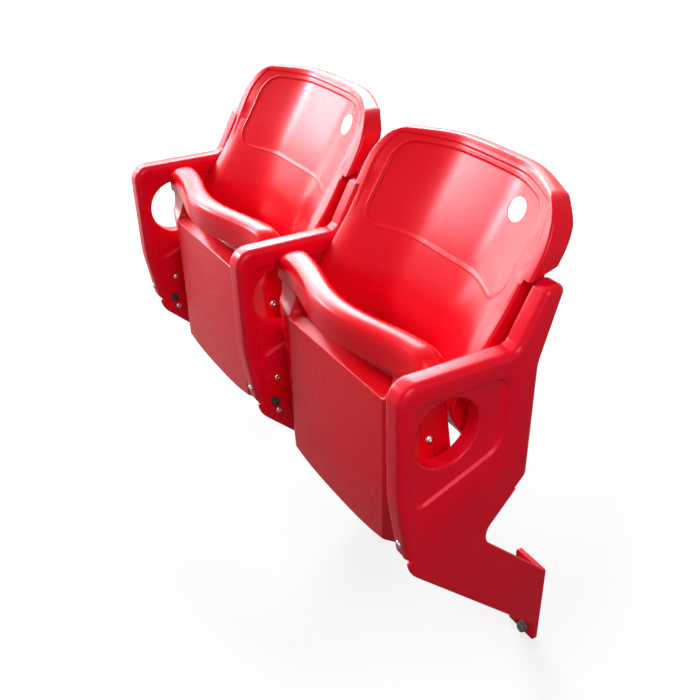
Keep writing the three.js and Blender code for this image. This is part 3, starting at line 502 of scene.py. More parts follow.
def finish(name, tone_name, shift, rough, spread, grain, wave, nicks, **sockets):
    """A finish: drifting colour, roughness by smudges, and grain, waves and nicks as relief.

    shift is what each part of the tone is multiplied by where it has drifted furthest, and spread is
    how much rougher the smudges are. grain and wave are each a scale and a height in metres, and nicks
    is a depth in metres.
    """
    if name in bpy.data.materials:
        return bpy.data.materials[name]
    tone = finish_tone(tone_name)
    material = bpy.data.materials.new(name)
    material.use_nodes = True
    tree = material.node_tree
    shader = tree.nodes["Principled BSDF"]
    for key, value in sockets.items():
        shader.inputs[key.replace("_", " ")].default_value = value
    other = tuple(min(1.0, part * share) for part, share in zip(tone, shift))
    drift = use_group(tree, colour_drift, tone=(*tone, 1), other_tone=(*other, 1), drift_scale=4.0)
    tree.links.new(drift.outputs["Color"], shader.inputs["Base Color"])
    marks = use_group(tree, handling_marks, smudge_scale=9.0, scratch_scale=70.0)
    roughness = ranged(tree, marks.outputs["Smudge"], 0, 1, rough, rough + spread)
    tree.links.new(roughness, shader.inputs["Roughness"])
    relief = use_group(tree, surface_grain, grain_scale=grain[0], wave_scale=wave[0])
    normal = None
    for height, depth in (
        (relief.outputs["Waves"], wave[1]),
        (relief.outputs["Grain"], grain[1]),
        (marks.outputs["Scratch"], -nicks),
    ):
        bump = shader_node(tree, "ShaderNodeBump", invert=depth < 0)
        bump.inputs["Strength"].default_value = 1.0
        bump.inputs["Distance"].default_value = abs(depth)
        tree.links.new(height, bump.inputs["Height"])
        if normal:
            tree.links.new(normal, bump.inputs["Normal"])
        normal = bump.outputs["Normal"]
    tree.links.new(normal, shader.inputs["Normal"])
    return material


def red_gloss():
    """The weak, tinted reflection of the red finishes."""
    return {"Specular_IOR_Level": RED_SPECULAR, "Specular_Tint": (*finish_tone("gloss"), 1)}


def shell_plastic():
    return finish(
        "glossy moulded shell", "shell", shift=(0.94, 0.8, 1.2), rough=0.26, spread=0.05,
        grain=(1400, 4e-6), wave=(45, 2e-5), nicks=1e-6, **red_gloss(),
    )


def standard_coat():
    return finish(
        "cast standard coat", "coat", shift=(0.9, 0.8, 1.2), rough=0.26, spread=0.06,
        grain=(1100, 6e-6), wave=(110, 1.5e-5), nicks=1e-6, **red_gloss(),
    )


def hinge_coat():
    return finish(
        "hinge powder coat", "hinge", shift=(0.92, 0.9, 1.1), rough=0.30, spread=0.08,
        grain=(1600, 6e-6), wave=(300, 1e-5), nicks=2e-6, **red_gloss(),
    )


def zinc_steel():
    return finish(
        "bright zinc", "zinc", shift=(0.9, 0.9, 0.88), rough=0.24, spread=0.16,
        grain=(2600, 3e-6), wave=(500, 1e-5), nicks=5e-6, Metallic=1.0,
    )


def dark_steel():
    return finish(
        "dark anchor steel", "dark_steel", shift=(1.5, 1.4, 1.3), rough=0.42, spread=0.18,
        grain=(1500, 1e-5), wave=(400, 2e-5), nicks=1e-5, Metallic=0.9,
    )


def rubber():
    return finish(
        "black rubber", "rubber", shift=(1.6, 1.6, 1.6), rough=0.72, spread=0.12,
        grain=(2200, 1.5e-5), wave=(500, 2e-5), nicks=5e-6,
    )


def plate_plastic():
    return finish(
        "white number plate", "plate", shift=(0.97, 0.97, 0.98), rough=0.34, spread=0.1,
        grain=(1800, 4e-6), wave=(300, 1e-5), nicks=4e-6,
    )


# Standards

FOOT_SLOPE = math.radians(42.6)
# Two points of the standard's front, as (reach, height).
HEEL = (0.2815, 0.205)
KNEE = (0.306, 0.340)
FOOT_WIDTH = 0.097
FOOT_PLATE = 0.008
NOTCH_ALONG = 0.088
BODY_INSET = 0.020
POST_REACH = 0.112
POST_SETBACK = 0.044
POST_RISE = 0.082
POST_TOP_DEPTH = 0.038
POST_TOP_RISE = 0.012
SPINE_REACH = 0.068
SPINE_FOOT = 0.310
SPINE_SHOULDER = 0.508
ARM_NOSE_RADIUS = 0.032
ARM_FRONT_RADIUS = 0.260
ARM_REAR_RADIUS = 0.018
CHIN_RADIUS = 0.016
SPINE_FOOT_RADIUS = 0.020
SPINE_SHOULDER_RADIUS = 0.080
POST_CORNER = 0.012
HEEL_RADIUS = 0.060
NOTCH_RADIUS = 0.030
FOOT_EDGE = 0.003
# A riser flange's width, height and thickness.
FLANGE = (0.067, 0.163, 0.010)
FLANGE_CORNER = 0.005
FLANGE_EDGE = 0.0015
RIB_HALF = 0.003
RIB_START_DEPTH = 0.010
RIB_END_DEPTH = 0.040
# The web's sunk field: its margins, its wall and its corners.
WEB_MARGIN = 0.027
WEB_SLOPE = 0.0035
WEB_ROUND = 0.0012
WEB_DROP = 0.034
WEB_CORNER = 0.022
WEB_CHIN = 0.322
WEB_CHIN_CORNER = 0.0147
WEB_REAR_REACH = 0.124
WEB_REAR_FOOT = 0.385
WEB_REAR_CORNER = 0.044
CASTING_SHARP_ANGLE = math.radians(30)


def on_foot(along, across):
    """A place on the strut: along from the heel down to the riser, across to its top edge."""
    y = -HEEL[0] + along * math.cos(FOOT_SLOPE) + across * math.sin(FOOT_SLOPE)
    z = HEEL[1] - along * math.sin(FOOT_SLOPE) + across * math.cos(FOOT_SLOPE)
    return y, z


def foot_at_riser(across):
    """Where a line along the strut meets the riser."""
    return on_foot((HEEL[0] - across * math.sin(FOOT_SLOPE)) / math.cos(FOOT_SLOPE), across)


def front_reach(height):
    """How far the standard's leaning front stands before the riser."""
    return mix(HEEL[0], KNEE[0], (height - HEEL[1]) / (KNEE[1] - HEEL[1]))


def body_outline(s):
    """The standard's arm, web and post in Y and Z."""
    chin = HEEL[1] + BODY_INSET / math.cos(FOOT_SLOPE)
    post_top = -POST_REACH + POST_SETBACK
    return rounded_outline([
        (-s.arm_reach, s.arm_height, ARM_NOSE_RADIUS),
        (-KNEE[0], KNEE[1], ARM_FRONT_RADIUS),
        (-front_reach(chin), chin, CHIN_RADIUS),
        (*on_foot(NOTCH_ALONG, BODY_INSET), CHIN_RADIUS),
        (*on_foot(NOTCH_ALONG, FOOT_WIDTH), 0),
        (-SPINE_REACH, SPINE_FOOT, SPINE_FOOT_RADIUS),
        (-SPINE_REACH, SPINE_SHOULDER, SPINE_SHOULDER_RADIUS),
        (post_top + POST_TOP_DEPTH, s.arm_height + POST_RISE + POST_TOP_RISE, POST_CORNER),
        (post_top, s.arm_height + POST_RISE, POST_CORNER),
        (-POST_REACH, s.arm_height, ARM_REAR_RADIUS),
    ])


def foot_outline():
    """The strut's thin plate in Y and Z, from under the web down to the riser."""
    chin = HEEL[1] + BODY_INSET
    return rounded_outline([
        (-front_reach(chin), chin, 0),
        (-HEEL[0], HEEL[1], HEEL_RADIUS),
        (*foot_at_riser(0), 0),
        (*foot_at_riser(FOOT_WIDTH), 0),
        (*on_foot(NOTCH_ALONG, FOOT_WIDTH), NOTCH_RADIUS),
        (-SPINE_REACH - BODY_INSET, SPINE_FOOT - BODY_INSET, 0),
        (-HEEL[0] + BODY_INSET, HEEL[1] + 2 * BODY_INSET, 0),
    ])


def flange_piece(s):
    """The flange that is bolted to the riser, flush with the strut's outer face."""
    wide, tall, deep = FLANGE
    high = s.width / 2
    outline = rounded_rectangle(high - wide, -tall / 2, high, tall / 2, FLANGE_CORNER)
    flange = slab("flange", outline, 0, deep, FLANGE_EDGE, 3)
    flange.data.transform(Matrix(((0, 1, 0, 0), (-1, 0, 0, 0), (0, 0, 1, 0), (0, 0, 0, 1))))
    return flange


def rib_piece(s):
    """The rib on the strut's inner side, deepest where it meets the flange."""
    start = on_foot(NOTCH_ALONG - BODY_INSET, FOOT_WIDTH / 2)
    end = foot_at_riser(FOOT_WIDTH / 2)
    run = math.hypot(end[0] - start[0], end[1] - start[1]) - FLANGE[2]
    root = s.width / 2 - FOOT_PLATE / 2
    outline = np.array([(0, root), (0, root - RIB_START_DEPTH), (run, root - RIB_END_DEPTH), (run, root)])
    rib = slab("rib", outline, -RIB_HALF, RIB_HALF, 0)
    along = Vector((0, math.cos(FOOT_SLOPE), -math.sin(FOOT_SLOPE)))
    out = Vector((1, 0, 0))
    across = along.cross(out)
    turn = Matrix((across, along, out)).transposed().to_4x4()
    rib.data.transform(Matrix.Translation((0, start[0], start[1])) @ turn)
    return rib


def field_cutter(s, side):
    """The field round the hand hole, sunk into one face with a softly rounded wall."""
    top = s.arm_height - WEB_DROP
    outline = rounded_outline([
        (-s.arm_reach + WEB_MARGIN, top, WEB_CORNER),
        (-KNEE[0] + WEB_MARGIN, KNEE[1], 0),
        (-front_reach(WEB_CHIN) + WEB_MARGIN, WEB_CHIN, WEB_CHIN_CORNER),
        (-WEB_REAR_REACH, WEB_REAR_FOOT, WEB_REAR_CORNER),
        (-WEB_REAR_REACH, top, WEB_CORNER),
    ])
    half = s.width / 2
    wall = [(half - s.field_depth * smooth(t), mix(-WEB_ROUND, WEB_SLOPE, t)) for t in np.linspace(1, 0, 9)]
    return loft("field", [
        np.column_stack([np.full(len(outline), side * out), inset_outline(outline, inset)])
        for out, inset in [*wall, (half + OVERRUN, -WEB_ROUND)]
    ])


def hole_cutter(s):
    """The hand hole with its edges rounded on both faces of the web."""
    web, r, soft = s.width / 2 - s.field_depth, s.hole_radius, s.hole_round
    angles = np.linspace(math.pi / 2, 0, 7)
    edge = [(web - soft * (1 - math.sin(a)), r + soft * (1 - math.cos(a))) for a in angles]
    profile = [(OVERRUN + web, r + soft), *edge]
    profile = [(-place, radius) for place, radius in profile] + profile[::-1]
    return turned("hole", profile, (1, 0, 0), (0, -s.hole_reach, s.hole_height), 96)


def casting(s):
    """One standard in its own place."""
    half = s.width / 2
    body = slab("casting", body_outline(s), -half, half, s.edge_radius, 10)
    carve(body, [field_cutter(s, 1), field_cutter(s, -1), hole_cutter(s)])
    foot = slab("foot", foot_outline(), half - FOOT_PLATE, half, FOOT_EDGE, 4)
    return carve(body, [foot, flange_piece(s), rib_piece(s)], "UNION")


class STADIUM_OT_standards(bpy.types.Operator):
    """Builds the three cast standards with their arms, struts and flanges"""

    bl_idname = "stadium.standards"
    bl_label = "Build standards"

    def execute(self, context):
        cast = casting(context.scene.seat_unit_standard)
        for name, x in STANDARDS.items():
            mesh = cast.data.copy()
            mesh.transform(Matrix.Translation((x, 0, 0)))
            piece = bpy.data.objects.new(f"standard_{name}_casting", mesh)
            context.scene.collection.objects.link(piece)
            shade(piece, CASTING_SHARP_ANGLE)
            install(piece, f"standard_{name}", standard_coat())
        bpy.data.objects.remove(cast)
        return {"FINISHED"}


# Seats

LIP_SIDE_REACH = 0.217
LIP_END_RADIUS = 0.038
LIP_END_DROP = 0.024
POCKET_END_DEPTH = 0.006
POCKET_HALF = 0.152
POCKET_FADE = 0.012
PANEL_REACH = 0.259
PANEL_HALF = 0.148
PANEL_LEAN = 0.006
SIDE_TOP_REACH = 0.240
SIDE_BOTTOM_REACH = 0.221
BOTTOM_ARC = 0.038
BOTTOM_ROUND = 0.013
# The sitting side's reaches, from its lowest edge up to the lip.
SIT_MIDDLE_REACHES = (0.200, 0.205, 0.213, 0.214)
SIT_SIDE_REACHES = (0.162, 0.168, 0.178, 0.190)
SIT_SIDE_BEND = 0.358
POCKET_LOW_SHARE = 0.3
POCKET_HIGH_SHARE = 0.9
UNDERSIDE_RADII = (0.02, 0.0025, 0.009, 0.006, 0.0045)
# Where the sections stand close, over the pocket's end.
SECTION_BAND = (0.134, 0.156)
BAND_GAP = 0.004
# The pivot and the arm bolt, in Y and Z.
PIVOT = (-0.207, 0.2565)
ARM_TIP = (-0.223, 0.4025)
ARM_EYE_RADIUS = 0.0115
ARM_TIP_RADIUS = 0.0085
ARM_RECESS_DEPTH = 0.0043
SPRING_POCKET_RADIUS = 0.010
SPRING_POCKET_DEPTH = 0.0283
SEAT_OUT = 0.030


def ledge_height(s):
    """Height of the ledge below the finger pocket."""
    return s.lip_height - s.lip_skirt - s.pocket_height


def sit_curves(s):
    """The sitting side at its middle and at its sides, as (height, reach)."""
    crest = s.lip_height - s.lip_radius
    ledge = ledge_height(s)
    middle = list(zip((s.bottom_height, PIVOT[1], ledge, crest), SIT_MIDDLE_REACHES))
    side = list(zip((s.bottom_height, PIVOT[1], SIT_SIDE_BEND, ledge), SIT_SIDE_REACHES))
    return middle, [*side, (crest, LIP_SIDE_REACH - s.lip_radius)]


def edge_inset(inset, radius):
    """How far a rounded edge falls back at a distance in from it."""
    inset = np.clip(inset, 0, radius)
    return radius - np.sqrt(np.maximum(radius**2 - (radius - inset) ** 2, 0))


def lip_reach(s, across):
    """How far the middle of the lip's roll stands before the riser."""
    share = min(abs(across) / (s.half_width - s.lip_radius), 1)
    return LIP_SIDE_REACH + s.lip_bow * (1 + math.cos(math.pi * share)) / 2


def lip_top(s, across):
    """Height of the lip's top, which drops in an arc at its two ends."""
    share = max(0.0, (abs(across) - s.half_width + LIP_END_RADIUS) / LIP_END_RADIUS)
    return s.lip_height - LIP_END_DROP * (1 - math.sqrt(max(0.0, 1 - share**2)))


def seat_bottom(s, across):
    """Height of the seat's lowest edge, which rises towards its two sides."""
    return s.bottom_height + BOTTOM_ARC * abs(across / s.half_width) ** 3


def under_reach(s, across, height):
    """How far the underside stands before the riser: a flat panel between chamfered sides."""
    ledge, low = ledge_height(s), s.bottom_height + BOTTOM_ARC
    share = np.clip((ledge - height) / (ledge - low), 0, 1)
    flat = PANEL_REACH - PANEL_LEAN * share
    edge = mix(SIDE_TOP_REACH, SIDE_BOTTOM_REACH, share)
    chamfer = max(0.0, (abs(across) - PANEL_HALF) / (s.half_width - PANEL_HALF))
    return mix(flat, edge, chamfer)


def sit_reach(s, across, height):
    """How far the sitting side stands before the riser, with the lip over its top."""
    middle, side = sit_curves(s)
    seat = mix(curve_at(middle, height), curve_at(side, height), smooth(abs(across) / s.half_width))
    top = lip_reach(s, across) - s.lip_radius
    return mix(top, seat, smooth((s.lip_height - s.lip_radius - height) / (2 * s.lip_skirt)))


def pocket_reach(s, across, share):
    """The finger pocket's wall, at a share of its height under the lip."""
    lip = lip_reach(s, across) + s.lip_radius
    inside = smooth((POCKET_HALF - abs(across)) / POCKET_FADE)
    depth = mix(POCKET_END_DEPTH, s.pocket_depth, inside)
    return mix(lip, under_reach(s, across, ledge_height(s)), share) - depth


def seat_section(s, across):
    """Points (reach, height) round one section, from the bottom up the underside and back."""
    low = seat_bottom(s, across) + BOTTOM_ROUND
    crest = lip_top(s, across) - s.lip_radius
    skirt, ledge = s.lip_height - s.lip_skirt, ledge_height(s)
    inset = float(edge_inset(s.half_width - abs(across), s.end_radius))
    lip = lip_reach(s, across) + s.lip_radius - inset

    def under(height):
        return float(under_reach(s, across, height)) - inset

    def over(height):
        return lip

    def pocket(share):
        return pocket_reach(s, across, 1 - share) - inset, mix(ledge, skirt, share)

    def tip(front_at, height, tall, shares, sign, fullness=2.0):
        """Half of a rounded end, on the front for sign 1 and on the sitting side for -1."""
        points = []
        for share in shares:
            z = height + tall * max(0.0, 1 - share**fullness) ** (1 / fullness)
            front, back = front_at(z), sit_reach(s, across, z) + inset
            points.append(((front + back) / 2 + sign * (front - back) / 2 * share, z))
        return points

    shares = np.sin(np.linspace(0, math.pi / 2, 10))
    halfway = mix(low, ledge, 0.5)
    corners = [
        (under(low), low),
        (under(halfway), halfway),
        (under(ledge), ledge),
        pocket(POCKET_LOW_SHARE),
        pocket(POCKET_HIGH_SHARE),
        (lip, skirt),
        (lip, crest),
    ]
    front = bent(corners, UNDERSIDE_RADII, 6)
    sitting = [(float(sit_reach(s, across, z)) + inset, z) for z in np.linspace(crest, low, 26)[1:-1]]
    return (
        tip(under, low, -BOTTOM_ROUND, shares[:-1], 1)
        + front
        + tip(over, crest, s.lip_radius, shares[::-1][1:], 1, s.lip_fullness)
        + tip(over, crest, s.lip_radius, shares[1:], -1, s.lip_fullness)
        + sitting
        + tip(under, low, -BOTTOM_ROUND, shares[::-1][:-1], -1)
    )


def seat_places(s):
    """Where the seat's sections stand, closer where its form turns."""
    half = s.half_width
    inner, outer = SECTION_BAND
    right = np.concatenate([
        np.linspace(0, inner - BAND_GAP, 19),
        np.linspace(inner, outer, 14),
        np.linspace(outer + BAND_GAP, half - LIP_END_RADIUS, 4),
        half - LIP_END_RADIUS + LIP_END_RADIUS * np.sin(np.linspace(0.15, 1.05, 7)),
        half - s.end_radius * (1 - np.sin(np.linspace(0, math.pi / 2, 7))),
    ])
    right = np.unique(np.round(right, 5))
    return np.concatenate([-right[:0:-1], right])


def capsule(grow, steps=20):
    """The outline of a hinge arm in Y and Z: an eye and a tip joined by straight sides."""
    run = np.array(ARM_TIP) - np.array(PIVOT)
    turn = math.acos((ARM_EYE_RADIUS - ARM_TIP_RADIUS) / np.linalg.norm(run))
    angle = math.atan2(run[1], run[0])
    points = []
    for centre, radius, start, end in (
        (ARM_TIP, ARM_TIP_RADIUS, angle - turn, angle + turn),
        (PIVOT, ARM_EYE_RADIUS, angle + turn, angle - turn + 2 * math.pi),
    ):
        for a in np.linspace(start, end, steps):
            points.append(np.array(centre) + (radius + grow) * np.array([math.cos(a), math.sin(a)]))
    return np.array(points)


def seat_moulding(s, name, x):
    """One seat shell with the recesses for its arms and the pockets round its pins."""
    sections = []
    for across in seat_places(s):
        sections.append([(x + across, -reach, z) for reach, z in seat_section(s, across)])
    piece = loft(name, sections)
    pocket = [(0, SPRING_POCKET_RADIUS), (OVERRUN + SPRING_POCKET_DEPTH, SPRING_POCKET_RADIUS)]
    tools = []
    for side in (-1, 1):
        end, floor = x + side * (s.half_width + OVERRUN), x + side * (s.half_width - ARM_RECESS_DEPTH)
        tools.append(slab("recess", capsule(GAP), min(end, floor), max(end, floor), 0))
        tools.append(turned("pocket", pocket, (-side, 0, 0), (end, *PIVOT), 36))
    return carve(piece, tools)


class STADIUM_OT_seats(bpy.types.Operator):
    """Builds the two tip-up seat shells with their rolled lips and finger pockets"""

    bl_idname = "stadium.seats"
    bl_label = "Build seats"

    def execute(self, context):
        for name, x in SEATS.items():
            piece = shade(seat_moulding(context.scene.seat_unit_seat, f"seat_{name}_moulding", x))
            install(piece, f"seat_shell_{name}", shell_plastic())
        return {"FINISHED"}


# Backs

BACK_TOP_ARCH = 0.007
BACK_TOP_RADIUS = 0.076
BACK_TOP_RUN = 0.062
BACK_BOTTOM_RADIUS = 0.060
BACK_RETURN = 0.044
BACK_RETURN_LOSS = 0.009
BACK_FLAT_SHARE = 0.3
BACK_EASE = 0.18
BACK_WALL = 0.006
LOSS_START = 0.685
LOSS_RUN = 0.040
WIDENING_START = 0.50
WIDENING_RUN = 0.20
COARSE_RINGS_END = 0.560
FINE_RINGS_START = 0.565
FINE_RING_STEP = 0.001
RIM_RADIUS = 0.006
RIM_TOP_WIDTH = 0.008
RIM_SLOPE = 0.003
FIELD_BOTTOM = 0.573
FIELD_TOP = 0.713
FIELD_HALF = 0.188
FIELD_CORNER = 0.034
BEAD_OFFSET = 0.0010
BEAD_SPREAD = 0.0014
FIELD_EDGE_BAND = (0.150, 0.192)
RIM_BAND = 0.025
RING_GAP = 0.002
SHOULDER_ROOF = 0.625
SHOULDER_HEIGHT = 0.614
SHOULDER_RUN = 0.008
# The front at the back's middle and at its rim, as (height, reach).
BACK_MIDDLE = [
    (0.338, 0.118), (0.436, 0.112), (0.500, 0.088), (0.574, 0.052), (0.674, -0.006), (0.733, -0.041),
]
BACK_RIM = [
    (0.338, 0.118), (0.372, 0.150), (0.440, 0.186), (0.500, 0.152), (0.572, 0.103), (0.640, 0.063),
    (0.711, 0.025), (0.733, 0.014),
]
PLATE_ACROSS = 0.111
PLATE_HEIGHT = 0.675
PLATE_LEAN = math.radians(28)
PLATE_HALVES = (0.0255, 0.0195)
PLATE_PLAY = 0.0005
PLATE_SUNK = 0.0012
PLATE_PROUD = 0.0008
PLATE_EDGE = 0.0007
BACK_SCREW_HEIGHT = 0.582
BACK_SCREW_SETBACK = 0.028
BOSS_RADIUS = 0.008
SCREW_POCKET_WIDTH = 0.026
SCREW_POCKET_HALF = 0.014
SCREW_POCKET_WALL = 0.009
SCREW_POCKET_DEPTH = 0.088


def corner_inset(rise, radius, run):
    """How far an elliptic corner, radius tall and run wide, has turned in at a rise."""
    share = np.clip(rise / radius, 0, 1)
    return run * (1 - np.sqrt(1 - share**2))


def back_full_half(s, height):
    """The half width before the corners are rounded, wider over the posts."""
    return mix(s.waist_half, s.half_width, smooth((height - SHOULDER_HEIGHT) / SHOULDER_RUN))


def front_half(s, height):
    """The half width that the front's form follows, without the step over the posts."""
    return mix(s.waist_half, s.half_width, smooth((height - WIDENING_START) / WIDENING_RUN))


def back_corners(s, height):
    """How far the back's upper and lower corners turn in at a height."""
    top = corner_inset(height + BACK_TOP_ARCH - s.height + BACK_TOP_RADIUS, BACK_TOP_RADIUS, BACK_TOP_RUN)
    rise = s.bottom_height + BACK_BOTTOM_RADIUS - height
    return top + corner_inset(rise, BACK_BOTTOM_RADIUS, BACK_BOTTOM_RADIUS)


def back_half(s, height):
    """The back's half width at a height."""
    return back_full_half(s, height) - back_corners(s, height)


def back_reach(s, across, height):
    """The front: a flat middle that curves forward to the rim."""
    full = front_half(s, height) - s.rim_width
    share = np.clip((np.abs(across) / full - BACK_FLAT_SHARE) / (1 - BACK_FLAT_SHARE), 0, 1 + BACK_EASE)
    over = np.maximum(share - 1 + BACK_EASE, 0)
    share = share - over * over / (4 * BACK_EASE)
    return mix(curve_at(BACK_MIDDLE, height), curve_at(BACK_RIM, height), share * share * (2 - share))


def rim_lift(s, across, height, arch, half):
    """How proud the rim stands, rising over a short slope from the front's middle."""
    crown = s.height + arch * (1 - (across / half) ** 2) - BACK_TOP_ARCH
    edge = front_half(s, height) - back_corners(s, height - arch)
    side = (s.rim_width + RIM_SLOPE - edge + np.abs(across)) / RIM_SLOPE
    top = (RIM_TOP_WIDTH + RIM_SLOPE - crown + height) / RIM_SLOPE
    upper = smooth((height - FIELD_BOTTOM) / (3 * s.rim_width))
    return s.rim_rise * smooth(np.maximum(side, top)) * upper


def field_sink(s, across, height):
    """How deep the field is sunk at a place, with its soft edge."""
    rise = FIELD_TOP - BACK_TOP_ARCH - FIELD_BOTTOM
    share = np.clip((height - FIELD_BOTTOM) / (rise + BACK_TOP_ARCH), 0, 1)
    level = height - BACK_TOP_ARCH * share**4 * (1 - (across / FIELD_HALF) ** 2)
    dx = np.abs(across) - (FIELD_HALF - FIELD_CORNER)
    dz = np.abs(level - FIELD_BOTTOM - rise / 2) - (rise / 2 - FIELD_CORNER)
    round_corner = np.hypot(np.maximum(dx, 0), np.maximum(dz, 0))
    outside = round_corner + np.minimum(np.maximum(dx, dz), 0) - FIELD_CORNER
    bead = s.field_bead * np.exp(-(((outside - BEAD_OFFSET) / BEAD_SPREAD) ** 2))
    return s.field_inset * smooth(-outside / s.field_slope) - bead


def back_acrosses(s, half):
    """Places over one ring's half width, closer at the field's edge and the rim."""
    start, end = FIELD_EDGE_BAND
    inner = np.concatenate([np.linspace(0, start - RING_GAP, 14), np.linspace(start, end, 43)])
    outer = half - np.concatenate([
        np.linspace(RIM_BAND, s.rim_round, 15),
        s.rim_round * (1 - np.sin(np.linspace(0.10, math.pi / 2, 11))),
    ])
    share = min(1.0, (half - RIM_BAND - RING_GAP / 2) / (end + RING_GAP))
    right = np.concatenate([inner * share, outer])
    return np.concatenate([-right[:0:-1], right])


def back_ring(s, x, height, squeeze, arch):
    """One ring of the shell, bowed up by arch, and squeezed thin where the shell starts and ends."""
    half = float(back_half(s, height))
    across = back_acrosses(s, half)
    place = height + arch * (1 - (across / half) ** 2)
    front = -back_reach(s, across, place) - rim_lift(s, across, place, arch, half)
    end_depth = BACK_RETURN - BACK_RETURN_LOSS * smooth((height - LOSS_START) / LOSS_RUN)
    depth = mix(s.thickness, end_depth, np.abs(across / half) ** 3)
    inset = half - np.abs(across)
    to_top = s.height - BACK_TOP_ARCH - height
    softened = edge_inset(np.minimum(inset, to_top), s.rim_round)
    sink = field_sink(s, across, place) if squeeze == 1 else 0
    at_top = to_top < BACK_TOP_RADIUS
    pivot = s.rim_round + GAP if at_top else depth / 2
    near = front + pivot - (pivot - softened) * (1 if at_top else squeeze) + sink
    far = front + pivot + (depth - pivot - edge_inset(inset, RIM_RADIUS)) * squeeze
    near = np.column_stack([x + across, near, place])
    far = np.column_stack([x + across, far, place])
    return np.concatenate([near, far[::-1]])


def back_shape(s, name, x):
    """The back shell's rings from its lower edge to its arched top."""
    low, corner = s.bottom_height, s.height - BACK_TOP_ARCH
    top = corner - BACK_TOP_RADIUS
    angles = np.sin(np.linspace(0, math.pi / 2, 90))
    heights = np.concatenate([
        low + RIM_RADIUS + (BACK_BOTTOM_RADIUS - RIM_RADIUS) * (1 - np.cos(np.linspace(0, math.pi / 2, 9))),
        np.linspace(low + BACK_BOTTOM_RADIUS, COARSE_RINGS_END, 16)[1:],
        np.arange(FINE_RINGS_START, SHOULDER_HEIGHT, FINE_RING_STEP),
        np.linspace(SHOULDER_HEIGHT, SHOULDER_HEIGHT + SHOULDER_RUN, 6),
        np.linspace(SHOULDER_HEIGHT + SHOULDER_RUN, top, 8)[1:-1],
        top + (BACK_TOP_RADIUS - RIM_RADIUS) * angles,
    ])
    ends = np.sin(np.linspace(0.12, math.pi / 2, 10))
    levels = [(low + RIM_RADIUS * (1 - math.sqrt(1 - e * e)), e) for e in ends[:-1]]
    levels += [(h, 1.0) for h in heights]
    levels += [(corner - RIM_RADIUS * (1 - math.sqrt(1 - e * e)), e) for e in ends[-2::-1]]
    rings = []
    for height, squeeze in levels:
        arch = BACK_TOP_ARCH * np.clip((height - top) / BACK_TOP_RADIUS, 0, 1) ** 4
        rings.append(back_ring(s, x, height, squeeze, arch))
    return loft(name, rings)


def plate_frame(s):
    """The number plate's own axes and the point where it lies on the field."""
    step = PLATE_HALVES[0]
    rise = back_reach(s, PLATE_ACROSS + step, PLATE_HEIGHT) - back_reach(s, PLATE_ACROSS - step, PLATE_HEIGHT)
    x_axis = Vector((2 * step, -float(rise), 0)).normalized()
    normal = x_axis.cross(Vector((0, math.sin(PLATE_LEAN), math.cos(PLATE_LEAN)))).normalized()
    face = -float(back_reach(s, PLATE_ACROSS, PLATE_HEIGHT)) + s.field_inset
    return x_axis, normal.cross(x_axis), normal, Vector((PLATE_ACROSS, face, PLATE_HEIGHT))


def oval(s, name, x, grow, low, high, edge):
    """An oval slab on the field of the back at x."""
    x_axis, y_axis, normal, origin = plate_frame(s)
    angles = np.linspace(0, 2 * math.pi, 72, endpoint=False)
    wide, tall = (half + grow for half in PLATE_HALVES)
    outline = np.column_stack([wide * np.cos(angles), tall * np.sin(angles)])
    piece = slab(name, outline, low, high, edge, 4)
    turn = Matrix((normal, x_axis, y_axis)).transposed().to_4x4()
    piece.data.transform(Matrix.Translation(origin + Vector((x, 0, 0))) @ turn)
    return piece


def back_screw_y():
    """The back screws stand a set way behind the post's leaning front."""
    share = (BACK_SCREW_HEIGHT - ARM_HEIGHT) / POST_RISE
    return -POST_REACH + POST_SETBACK * share + BACK_SCREW_SETBACK


def block(name, low, high):
    """A box between its lowest and highest corners."""
    (x0, y0, z0), (x1, y1, z1) = low, high
    return slab(name, rounded_rectangle(y0, z0, y1, z1, 0), x0, x1, 0)


def back_fixing(s, x, side):
    """The boss that meets the post, and what is cut out for its screw and for the post's top."""
    post = x - side * HALF_PITCH
    wall = post + side * (HALF_PITCH - s.waist_half + BACK_WALL)
    boss_start = FACE_OUT + GAP
    boss_line = [(0, BOSS_RADIUS), (abs(wall - post) - boss_start, BOSS_RADIUS)]
    boss_origin = (post + side * boss_start, back_screw_y(), BACK_SCREW_HEIGHT)
    boss = turned("boss", boss_line, (side, 0, 0), boss_origin, 40)

    inner = s.waist_half - BACK_WALL - SCREW_POCKET_WIDTH
    low, high = BACK_SCREW_HEIGHT - SCREW_POCKET_HALF, BACK_SCREW_HEIGHT + SCREW_POCKET_HALF
    rear = -float(back_reach(s, inner, high)) + SCREW_POCKET_WALL
    ends = sorted((wall, wall + side * SCREW_POCKET_WIDTH))
    pocket = block("pocket", (ends[0], rear, low), (ends[1], rear + SCREW_POCKET_DEPTH, high))

    slope = POST_TOP_RISE / POST_TOP_DEPTH
    floor = SHOULDER_HEIGHT - SHOULDER_RUN
    roof = [(y, SHOULDER_ROOF + slope * (y + POST_REACH - POST_SETBACK)) for y in (OVERRUN, -POST_REACH)]
    outline = np.array([(-POST_REACH, floor), (OVERRUN, floor), *roof])
    ends = sorted((post, post + side * (HALF_PITCH - s.waist_half)))
    return boss, [pocket, slab("shoulder", outline, *ends, 0)]


